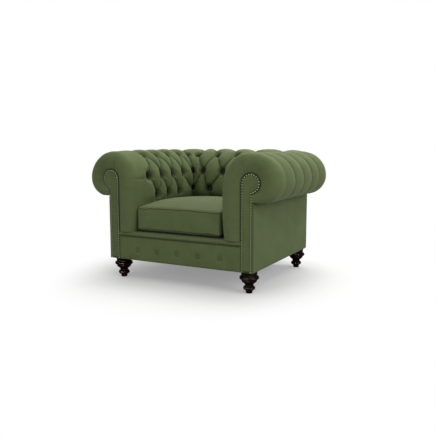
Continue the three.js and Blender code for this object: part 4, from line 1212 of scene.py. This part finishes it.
def nailRow(side, word):
    line = keyholeLine(facing["nailLine"], bodyBottom + nails["fromBottom"], 900)
    steps = np.concatenate([[0], np.cumsum(np.linalg.norm(np.diff(line, axis=0), axis=1))])
    at = np.linspace(0, steps[-1], int(steps[-1] / nails["pitch"]) + 1)
    base, faces = domePoints(nails["radius"], nails["height"], nails["segments"], nailProfile)
    depth = facing["front"] + facing["setBack"] + facing["nailDip"][0] - nails["proud"]
    places = []
    for k, (x, z) in enumerate(zip(np.interp(at, steps, line[:, 0]), np.interp(at, steps, line[:, 1]))):
        way = nails["lean"] * math.sin(5.3 * k + side), -1, nails["lean"] * math.cos(3.1 * k)
        places.append(((side * x, depth, z), way))
    return scatterDomes(f"nail_heads_{word}", places, base, faces, nailBrass)


for word, side in (("left", -1), ("right", 1)):
    finishPiece(armFacing(side, word), "chair", [f"arm_facing_{word}"])
    finishPiece(nailRow(side, word), "chair", [f"nail_trim_{word}"])
print("facings nailed")


# Outside panels, border, lip and platform

panelLook = {
    "crown": 0.0025,
    "crownReach": [0.06, 0.05],            # along the panel and up it
    "edge": 0.004,
    "edgeReach": 0.006,
    "sink": 0.001,
    "ripple": 0.0007,
    "edgeShade": [0.5, 0.003],
    "stepAlong": 0.008,
    "rows": 46,
    "rowsToEdges": 0.15,                   # share by which the rows draw to the edges
    "cornerRound": 0.03,
}


def edgedLine(low, high, count, margin, extra=()):
    # even stations, with one more close to each end
    return np.unique(np.concatenate([np.linspace(low, high, count), [low + margin, high - margin], extra]))


def wrapPanel(name, path, seed):
    # a padded panel stretched along a plan path; each station is a point, the way out and the reach
    low, high = bodyBottom, panelTop
    total = path[-1][2]
    (shade, shadeReach), (reachAlong, reachUp) = panelLook["edgeShade"], panelLook["crownReach"]
    even = np.linspace(0, 1, panelLook["rows"])
    drawn = panelLook["rowsToEdges"]
    zs = low + (high - low) * ((0.5 - 0.5 * np.cos(np.pi * even)) * drawn + even * (1 - drawn))
    loops, places, paintedShade = [], [], []
    for (x, y), (outX, outY), reach in path:
        stations = []
        edgeU = min(reach, total - reach)
        for z in zs:
            edgeV = min(z - low, high - z)
            near = min(edgeU, edgeV)
            rounding = panelLook["edge"] * (1 - min(near / panelLook["edgeReach"], 1)) ** 2
            inward = 1 - math.exp(-edgeV / reachUp)
            crown = panelLook["crown"] * (1 - math.exp(-edgeU / reachAlong)) * inward
            ripple = panelLook["ripple"] * noise.noise(Vector((6 * reach + seed, 5 * z, seed))) * inward
            offset = crown + ripple - rounding - panelLook["sink"]
            # painted shade: darker close to the panel's edges
            stations.append((offset, z, shade * math.exp(-near / shadeReach)))
        stations += [(-chairSize["panelThickness"], z, 0.0) for z in (high, low)]
        loops.append(np.array([(x + outX * offset, y + outY * offset, z) for offset, z, mark in stations]))
        places += [(reach, z) for offset, z, mark in stations]
        paintedShade += [mark for offset, z, mark in stations]
    return loftLoops(name, loops, coverCloth, np.array(places), paintedShade)


def straightPath(start, end, out):
    length = math.dist(start, end)
    count = max(int(length / panelLook["stepAlong"]), 2)
    return [((start[0] + (end[0] - start[0]) * k / count, start[1] + (end[1] - start[1]) * k / count), out,
             length * k / count) for k in range(count + 1)]


def cornerPath(first, middle, start):
    # one rounded rear corner, from the given quarter turn on
    made = []
    for k in range(9):
        turn = quarterTurn * (first + k / 8)
        out = math.cos(turn), math.sin(turn)
        spot = middle + cornerRound * out[0], bodyBack - cornerRound + cornerRound * out[1]
        made.append((spot, out, start + cornerRound * (turn - first * quarterTurn)))
    return made


def edgeStations(path):
    # more stations close to both ends, where the cloth turns over the edge
    total = path[-1][2]
    close = (0.001, 0.0025, 0.0045)
    table = np.array([[*p[0], *p[1], p[2]] for p in path])
    made = []
    for r in sorted({p[2] for p in path}.union(close, (total - k for k in close))):
        x, y, outX, outY = (np.interp(r, table[:, 4], table[:, k]) for k in range(4))
        size = math.hypot(outX, outY)
        made.append(((x, y), (outX / size, outY / size), r))
    return made


cornerRound = panelLook["cornerRound"]
armPanelBack = bodyBack - cornerRound - fitGap
for word, side in (("left", -1), ("right", 1)):
    path = straightPath((side * bodyHalf, frontPlane), (side * bodyHalf, armPanelBack), (side, 0))
    piece = wrapPanel(f"outside_arm_cover_{word}", edgeStations(path), side + 4.2)
    finishPiece(piece, "chair", [f"outside_arm_{word}"])

backHalf = bodyHalf - cornerRound
arcLength = cornerRound * quarterTurn
backPath = cornerPath(0, backHalf, 0.0)
backPath += [(spot, out, arcLength + reach) for spot, out, reach in
             straightPath((backHalf, bodyBack), (-backHalf, bodyBack), (0, 1))[1:-1]]
backPath += cornerPath(1, -backHalf, arcLength + 2 * backHalf)
piece = wrapPanel("outside_back_cover", edgeStations(backPath), 9.1)
finishPiece(piece, "chair", ["outside_back"])
print("outside panels ready")

border = {
    "half": seatHalf + keyhole["inset"] - fitGap,
    "top": 0.2493,
    "thickness": 0.016,
    "proud": 0.003,
    "margin": 0.001,
    "edge": 0.003,
    "edgeReach": 0.005,
    "edgeShade": [0.6, 0.003],
    "crown": 0.002,
    "crownReach": 0.02,
    "columns": 255,
    "rows": 44,
    "buttonPitch": 0.13,
    "buttonCount": 5,
    "buttonHeight": 0.178,
    "buttonRadius": 0.0105,
    "buttonDome": 0.0045,
    "buttonSink": 0.0012,
    # painted shade on the border buttons
    "buttonShade": 0.15,
    "holeShade": [0.5, 0.003],
    "dimple": 0.0055,
    "dimpleReach": 0.03,
    "pull": 0.0005,
    "pullCount": 8,
    "pullRing": [0.018, 0.009],
}
borderButtons = [((k - 2) * border["buttonPitch"], border["buttonHeight"])
                 for k in range(border["buttonCount"])]


def borderAt(x, z):
    # depth of the border's face and its painted shade: darker at the edges and round the buttons
    near = min(border["half"] - abs(x), z - bodyBottom, border["top"] - z)
    depth = border["edge"] * (1 - min(near / border["edgeReach"], 1)) ** 2
    depth -= border["crown"] * (1 - math.exp(-near / border["crownReach"]))
    (edgeShade, edgeReach), (holeShade, holeReach) = border["edgeShade"], border["holeShade"]
    mark = edgeShade * math.exp(-near / edgeReach)
    ringAt, ringWidth = border["pullRing"]
    for bx, bz in borderButtons:
        r = math.hypot(x - bx, z - bz)
        depth += border["dimple"] * max(1 - r / border["dimpleReach"], 0) ** 1.6
        turn = math.atan2(z - bz, x - bx)
        depth -= border["pull"] * bell(r - ringAt, ringWidth) * math.cos(border["pullCount"] * turn + bx * 40)
        mark = max(mark, holeShade * bell(r - border["buttonRadius"], holeReach))
    return max(depth, -border["proud"]), mark


def frontBorder():
    half, low, high = border["half"], bodyBottom, border["top"]
    zs = edgedLine(low, high, border["rows"], border["margin"])
    loops, places, paintedShade = [], [], []
    for x in edgedLine(-half, half, border["columns"], border["margin"]):
        stations = [(z, *borderAt(x, z)) for z in zs] + [(z, border["thickness"], 0.0) for z in (high, low)]
        loops.append(np.array([(x, frontPlane + depth, z) for z, depth, mark in stations]))
        places += [(x, z) for z, depth, mark in stations]
        paintedShade += [mark for z, depth, mark in stations]
    return loftLoops("front_border_cover", loops, coverCloth, np.array(places), paintedShade)


finishPiece(frontBorder(), "chair", ["front_border"])
base, faces = domePoints(border["buttonRadius"], border["buttonDome"], 20, buttonProfile)
for k, (bx, bz) in enumerate(borderButtons):
    places = [((bx, frontPlane + border["dimple"] - border["buttonSink"], bz), (0, -1, 0))]
    name = f"border_button_cover_{k + 1}"
    piece = scatterDomes(name, places, base, faces, coverCloth, border["buttonShade"])
    finishPiece(piece, "chair", [f"border_button_{k + 1}"])

lip = {
    "half": border["half"],
    "bottom": seatLevel - fitGap - 0.023,
    "top": seatLevel - fitGap,
    "front": frontPlane - 0.004,
    "back": frontPlane + chairSize["postDepth"],
    "nose": 0.0115,
    "shrink": 0.0015,
    "shrinkReach": 0.004,
    "wave": 0.0006,
    "margin": 0.002,
    "columns": 180,
    "steps": 14,
}


def frontLip():
    middle, radius = (lip["bottom"] + lip["top"]) / 2, (lip["top"] - lip["bottom"]) / 2
    loops, places = [], []
    for x in edgedLine(-lip["half"], lip["half"], lip["columns"], lip["margin"]):
        shrink = lip["shrink"] * (1 - min((lip["half"] - abs(x)) / lip["shrinkReach"], 1)) ** 2
        front = lip["front"] + shrink + lip["wave"] * noise.noise(Vector((14 * x, 2.1, 0)))
        loop = [(x, lip["back"], lip["bottom"] + shrink), (x, lip["back"], lip["top"] - shrink)]
        for k in range(lip["steps"] + 1):
            turn = math.pi * k / lip["steps"]
            depth = front + lip["nose"] * (1 - math.sin(turn))
            loop.append((x, depth, middle + (radius - shrink) * math.cos(turn)))
        loops.append(np.array(loop))
        places += [(x, 0.0), (x, 0.05)] + [(x, 0.06 + 0.002 * k) for k in range(lip["steps"] + 1)]
    return loftLoops("front_lip_cover", loops, coverCloth, np.array(places), np.zeros(len(places)))


finishPiece(frontLip(), "chair", ["front_lip"])

welt = {
    "radius": 0.0019,
    "height": lip["bottom"] - 0.0022,
    "depth": frontPlane + 0.0022,
    "columns": 160,
    "sides": 14,
    "shade": 0.5,
}


def borderWelt():
    # a round cord, closed at both ends
    turns = fullTurn * np.arange(welt["sides"]) / welt["sides"]
    ys = welt["depth"] - welt["radius"] * np.cos(turns)
    zs = welt["height"] + welt["radius"] * np.sin(turns)
    loops, places = [], []
    for x in np.linspace(-lip["half"], lip["half"], welt["columns"]):
        loops.append(np.column_stack([np.full(len(turns), x), ys, zs]))
        places += [(x + lip["half"], welt["radius"] * turn) for turn in turns]
    # painted shade: the whole cord drawn darker
    marks = np.full(len(places), welt["shade"])
    return loftLoops("border_welt_cover", loops, coverCloth, np.array(places), marks)


finishPiece(borderWelt(), "chair", ["border_welt"])

deck = {
    "seamY": -0.33,
    "seamWidth": 0.0018,
    "seamDepth": 0.002,
    "edge": 0.003,
    "edgeReach": 0.006,
    "quilt": 0.0012,
    "margin": 0.002,
    "columns": 150,
    "rows": 110,
}


def seatDeck():
    low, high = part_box("seat_deck")
    seamRows = deck["seamY"] + 0.0015 * np.arange(-2, 3)
    ys = edgedLine(low.y, high.y, deck["rows"], deck["margin"], seamRows)
    loops, places, paintedShade = [], [], []
    for x in edgedLine(low.x, high.x, deck["columns"], deck["margin"]):
        loop = [(x, high.y, low.z), (x, low.y, low.z)]
        paintedShade += [0, 0]
        for y in ys:
            near = min(x - low.x, high.x - x, y - low.y, high.y - y)
            seam = bell(y - deck["seamY"], deck["seamWidth"])
            quilt = deck["quilt"] * (0.5 + 0.5 * noise.noise(Vector((7 * x, 7 * y, 3.3))))
            edge = deck["edge"] * (1 - min(near / deck["edgeReach"], 1)) ** 2
            loop.append((x, y, high.z - edge - deck["seamDepth"] * seam - quilt))
            # painted shade along the seam
            paintedShade.append(seam)
        places += [point[:2] for point in loop]
        loops.append(np.array(loop))
    return loftLoops("seat_deck_cover", loops, deckCloth, np.array(places), paintedShade)


finishPiece(seatDeck(), "chair", ["seat_deck"])
print("border, lip and platform ready")


# Loose cushion

cushion = {
    "half": 0.2665,
    "halfDepth": 0.3135,
    "middle": -0.1575,
    "aside": -0.0075,
    "seamLow": 0.294,
    "seamHigh": 0.411,
    "restShare": 0.72,
    "edgeRise": 0.021,
    "crown": 0.019,
    "pullIn": 0.004,
    "bulge": 0.004,
    "corner": 0.009,
    "cell": 0.0085,
    "seamCell": 0.0028,
    "boxingRows": 13,
    "boxingEdge": 0.024,
    "startSmaller": 0.0025,
    "pressure": 4.0,
    "frames": 20,
    "capSide": 0.005,
    "capTop": 0.009,
    "capUnder": 0.004,
    "seamSink": 0.00224,
    "frontShade": 0.17,        # painted shade: the top drawn a little darker towards the front
}
cushionCloth = {
    "quality": 5,
    "mass": 0.3,
    "tension_stiffness": 18,
    "compression_stiffness": 12,
    "shear_stiffness": 6,
    "bending_stiffness": 0.6,
    "use_pressure": True,
    "uniform_pressure_force": cushion["pressure"],
}


def gridStations(half):
    edge = [half - cushion["seamCell"], half - 2.6 * cushion["seamCell"]]
    count = round(2 * edge[1] / cushion["cell"])
    return np.concatenate([[-half, -edge[0]], np.linspace(-edge[1], edge[1], count + 1), [edge[0], half]])


def cushionTopAt(x, y):
    across, back = x / cushion["half"], y / cushion["halfDepth"]
    rise = cushion["edgeRise"] * (1 - back ** 2) + cushion["crown"] * (1 - across ** 2) * (1 - back ** 4)
    return cushion["seamHigh"] + rise


def cushionBottomAt(x, y):
    reach = max(abs(x) / cushion["half"], abs(y) / cushion["halfDepth"])
    share = min(max((reach - cushion["restShare"]) / (1 - cushion["restShare"]), 0), 1)
    return seatLevel + fitGap * 0.3 + (cushion["seamLow"] - seatLevel) * share ** 1.6


def roundPlan(x, y):
    # square plan to one with rounded corners
    flatX, flatY = cushion["half"] - cushion["corner"], cushion["halfDepth"] - cushion["corner"]
    px, py = abs(x) - flatX, abs(y) - flatY
    if px > 0 and py > 0:
        scale = max(px, py) / math.hypot(px, py)
        return math.copysign(flatX + px * scale, x), math.copysign(flatY + py * scale, y)
    return x, y


def blankPoint(x, y, share, atSide, atFront):
    # one point of the unfilled cushion; share runs from its underside to its top
    across, back = abs(x) / cushion["half"], abs(y) / cushion["halfDepth"]
    bulge = cushion["bulge"] * math.sin(math.pi * share) - cushion["pullIn"]
    px, py = roundPlan(x, y)
    px += math.copysign((bulge if atSide else cushion["pullIn"] * across ** 3) * (1 - back ** 2), x)
    if atFront:
        py -= bulge * (1 - across ** 2)
    elif y < 0:
        py += cushion["pullIn"] * (1 - across ** 2) * back ** 3
    low = cushionBottomAt(x, y)
    z = low + (cushionTopAt(px, py) - low) * share
    if share == 1:
        z -= cushion["startSmaller"] * (1 - max(across, back) ** 6)
    shrink = 1 - cushion["startSmaller"] / cushion["half"] if share > 0 else 1
    return cushion["aside"] + px * shrink, cushion["middle"] + py * (shrink if y < 0 else 1), z


def cushionBlank():
    # a box of cells shaped to the cushion; every seam is a line of the mesh
    xs, ys = gridStations(cushion["half"]), gridStations(cushion["halfDepth"])
    edge = cushion["boxingEdge"]
    levels = np.concatenate([[0], np.linspace(edge, 1 - edge, cushion["boxingRows"]), [1]])
    lastX, lastY, top = len(xs) - 1, len(ys) - 1, len(levels) - 1
    index, points, faces = {}, [], []

    def cell(*corners):
        for key in corners:
            if key not in index:
                i, j, k = key
                index[key] = len(points)
                points.append(blankPoint(xs[i], ys[j], levels[k], i in (0, lastX), j == 0))
        faces.append([index[key] for key in corners])

    for i in range(lastX):
        for j in range(lastY):
            cell((i, j, top), (i + 1, j, top), (i + 1, j + 1, top), (i, j + 1, top))
            cell((i, j, 0), (i, j + 1, 0), (i + 1, j + 1, 0), (i + 1, j, 0))
    for k in range(top):
        for i in range(lastX):
            cell((i, 0, k), (i + 1, 0, k), (i + 1, 0, k + 1), (i, 0, k + 1))
            cell((i, lastY, k), (i, lastY, k + 1), (i + 1, lastY, k + 1), (i + 1, lastY, k))
        for j in range(lastY):
            cell((0, j, k), (0, j, k + 1), (0, j + 1, k + 1), (0, j + 1, k))
            cell((lastX, j, k), (lastX, j + 1, k), (lastX, j + 1, k + 1), (lastX, j, k + 1))
    return np.array(points), faces, np.array(list(index))


def inflate(piece):
    scene = bpy.context.scene
    modifier = piece.modifiers.new("inflate", "CLOTH")
    for key, value in cushionCloth.items():
        setattr(modifier.settings, key, value)
    modifier.settings.effector_weights.gravity = 0
    modifier.collision_settings.use_collision = False
    for step in range(1, cushion["frames"] + 1):
        scene.frame_set(step)
    evaluated = piece.evaluated_get(bpy.context.evaluated_depsgraph_get())
    moved = np.zeros(len(piece.data.vertices) * 3)
    evaluated.data.vertices.foreach_get("co", moved)
    piece.modifiers.remove(modifier)
    scene.frame_set(1)
    return moved.reshape(-1, 3)


def seatCushion():
    start, faces, kind = cushionBlank()
    piece = makeMesh("seat_cushion_cover", start, turnOutward(start, faces), coverCloth)
    shift = inflate(piece) - start
    i, j, k = kind.T
    lastX, lastY, lastZ = kind.max(axis=0)
    shift[:, :2] = np.clip(shift[:, :2], -cushion["capSide"], cushion["capSide"])
    shift[:, 2] = np.clip(shift[:, 2], -cushion["capSide"], cushion["capTop"])
    shift[j == lastY, 1] = 0                                   # the zip keeps the back boxing straight
    shift[k == 0, 2] = np.clip(shift[k == 0, 2], 0, cushion["capUnder"])
    points = start + shift
    points[:, 2] = np.maximum(points[:, 2], seatLevel)
    # seams: the edge lines sink between the two cloths and are drawn dark with painted shade
    atEnds, atSides = (i == 0) | (i == lastX), (j == 0) | (j == lastY)
    # painted shade: the top darker towards the front
    toFront = smoothStep((cushion["middle"] - points[:, 1]) / cushion["halfDepth"])
    mark = np.where(k == lastZ, cushion["frontShade"] * toFront, 0.0)
    for level, way in ((lastZ, -1), (0, 1)):
        seam = (k == level) & (atEnds | atSides)
        inward = np.sign([cushion["aside"], cushion["middle"]] - points[seam, :2])
        points[seam, :2] += cushion["seamSink"] * inward * np.column_stack([atEnds[seam], atSides[seam]])
        points[seam, 2] += way * cushion["seamSink"]
        mark[seam] = 1.0
    place = np.where(atEnds[:, None], points[:, 1:], points[:, [0, 2]])
    place = np.where(((k == 0) | (k == lastZ))[:, None], points[:, :2], place)
    piece.data.vertices.foreach_set("co", points.ravel())
    markCloth(piece.data, place, mark)
    piece.data.update()
    smooth = piece.modifiers.new("soften", "SUBSURF")
    smooth.levels = smooth.render_levels = 1
    return piece


finishPiece(seatCushion(), "cushion", ["seat_cushion"])
print("cushion sewn and filled")


# Zip

zipLook = {
    "length": 0.38,
    "y": cushion["middle"] + cushion["halfDepth"] + fitGap,
    "height": 0.355,
    "tape": 0.024,
    "tapeGap": 0.0012,
    "tapeThickness": 0.0006,
    "toothPitch": 0.0024,
    "toothWidth": 0.0014,
    "toothReach": 0.0022,
    "toothShift": 0.0009,
    # the slider: length and height, start, end, height and half width, start and half width
    "body": [0.009, 0.0012],
    "bridge": [0.003, 0.0075, 0.0026, 0.0012],
    "pull": [0.0055, 0.003],
    "pullEdge": 0.0004,
}
blockFaces = [(0, 1, 3, 2), (4, 6, 7, 5), (0, 4, 5, 1), (2, 3, 7, 6), (0, 2, 6, 4), (1, 5, 7, 3)]


def joinBlocks(name, blocks, material):
    # one mesh of many plain blocks, each given by two corners
    points, faces = [], []
    for corners in blocks:
        faces += [tuple(k + len(points) for k in face) for face in blockFaces]
        points += product(*zip(*corners))
    spots, marks = np.array(points)[:, [0, 2]], np.zeros(len(points))
    return makeMesh(name, points, turnOutward(points, faces), material, spots, marks, flat=True)


def zipPieces():
    y, z, half = zipLook["y"], zipLook["height"], zipLook["length"] / 2
    gap, tape, thickness = zipLook["tapeGap"], zipLook["tape"] / 2, zipLook["tapeThickness"]
    tapes = [((-half, y, low), (half, y + thickness, high))
             for low, high in ((z - tape, z - gap), (z + gap, z + tape))]
    finishPiece(joinBlocks("zip_tape_pair", tapes, zipCloth), "cushion", ["cushion_zip"])
    teeth = []
    for k in range(int(zipLook["length"] / zipLook["toothPitch"]) - 2):
        x = -half + 0.003 + k * zipLook["toothPitch"]
        middle = z + (zipLook["toothShift"] if k % 2 else -zipLook["toothShift"])
        teeth.append(((x, y - 0.0002, middle - zipLook["toothReach"]),
                      (x + zipLook["toothWidth"], y + 0.0011, middle + zipLook["toothReach"])))
    finishPiece(joinBlocks("zip_teeth", teeth, zipBrass), "cushion")


def zipSlider():
    # body, bridge and pull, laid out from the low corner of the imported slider
    low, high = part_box("zip_pull")
    x, y, middle = low.x, low.y, (low.z + high.z) / 2
    (length, bodyTop), (pullStart, pullHalf) = zipLook["body"], zipLook["pull"]
    start, end, bridgeTop, half = zipLook["bridge"]
    blocks = [(tuple(low), (x + length, y + bodyTop, high.z)),
              ((x + start, y + bodyTop, middle - half), (x + end, y + bridgeTop, middle + half)),
              ((x + pullStart, y + bridgeTop, middle - pullHalf), (high.x, high.y, middle + pullHalf))]
    piece = joinBlocks("zip_slider_pull", blocks, zipBrass)
    soften = piece.modifiers.new("edges", "BEVEL")
    soften.width, soften.segments = zipLook["pullEdge"], 2
    return piece


zipPieces()
finishPiece(zipSlider(), "zip_slider", ["zip_pull"])
print("zip ready")


# Feet

foot = {
    "radius": 0.0515,
    "height": bodyBottom,
    "boltRadius": 0.0043,
    "boltDepth": 0.043,
    "segments": 56,
    # shares of the radius and of the height, from the floor up
    "profile": [
        (0.27, 0.0), (0.31, 0.006), (0.335, 0.025), (0.345, 0.07), (0.355, 0.112), (0.36, 0.128),
        (0.41, 0.136), (0.5, 0.157), (0.58, 0.19), (0.615, 0.235), (0.585, 0.285), (0.505, 0.322),
        (0.437, 0.342), (0.43, 0.352), (0.425, 0.37), (0.44, 0.4), (0.49, 0.43), (0.573, 0.462),
        (0.67, 0.492), (0.745, 0.524), (0.785, 0.562), (0.79, 0.6), (0.785, 0.613), (0.82, 0.62),
        (0.9, 0.63), (0.965, 0.655), (0.995, 0.69), (0.985, 0.73), (0.94, 0.76), (0.86, 0.785),
        (0.81, 0.8), (0.8, 0.83), (0.815, 0.87), (0.83, 0.93), (0.82, 0.985), (0.8, 1.0),
    ],
}


def footProfile():
    # a smooth line through the profile's points, then the hollow for the bolt
    given = [Vector((r * foot["radius"], h * foot["height"])) for r, h in foot["profile"]]
    line = []
    for k in range(len(given) - 1):
        before, a, b, after = given[max(k - 1, 0)], given[k], given[k + 1], given[min(k + 2, len(given) - 1)]
        for step in range(3):
            t = step / 3
            line.append(0.5 * ((2 * a) + (b - before) * t + (2 * before - 5 * a + 4 * b - after) * t ** 2
                               + (3 * a - before - 3 * b + after) * t ** 3))
    hollow = [Vector((foot["boltRadius"], foot["height"] - depth)) for depth in (0, foot["boltDepth"])]
    return line + [given[-1]] + hollow


feet = []
for place in ("front_left", "front_right", "rear_left", "rear_right"):
    low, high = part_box(f"foot_{place}")
    middle = (low + high) / 2
    loops = [ring(middle.x, middle.y, p.y, p.x, foot["segments"]) for p in footProfile()]
    piece = loftLoops(f"turned_foot_{place}", loops, footLacquer)
    feet.append(finishPiece(piece, "chair", [f"foot_{place}"]))
buildGlints(feet)
print("feet turned")


# Frame pieces that stay as they are

keptFinish = {
    ("rail_", "front_post_", "rear_post_", "arm_top_rail_", "back_top_rail", "arm_tack_rail_",
     "back_tack_rail", "outside_tack_rail_", "corner_block_"): frameTimber,
    ("seat_spring_", "foot_bolt_"): boltSteel,
    ("dust_cover",): dustCloth,
}
for name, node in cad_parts.items():
    for starts, material in keptFinish.items():
        if name.startswith(starts):
            node.data.materials.clear()
            node.data.materials.append(material)
print("frame finishes set")
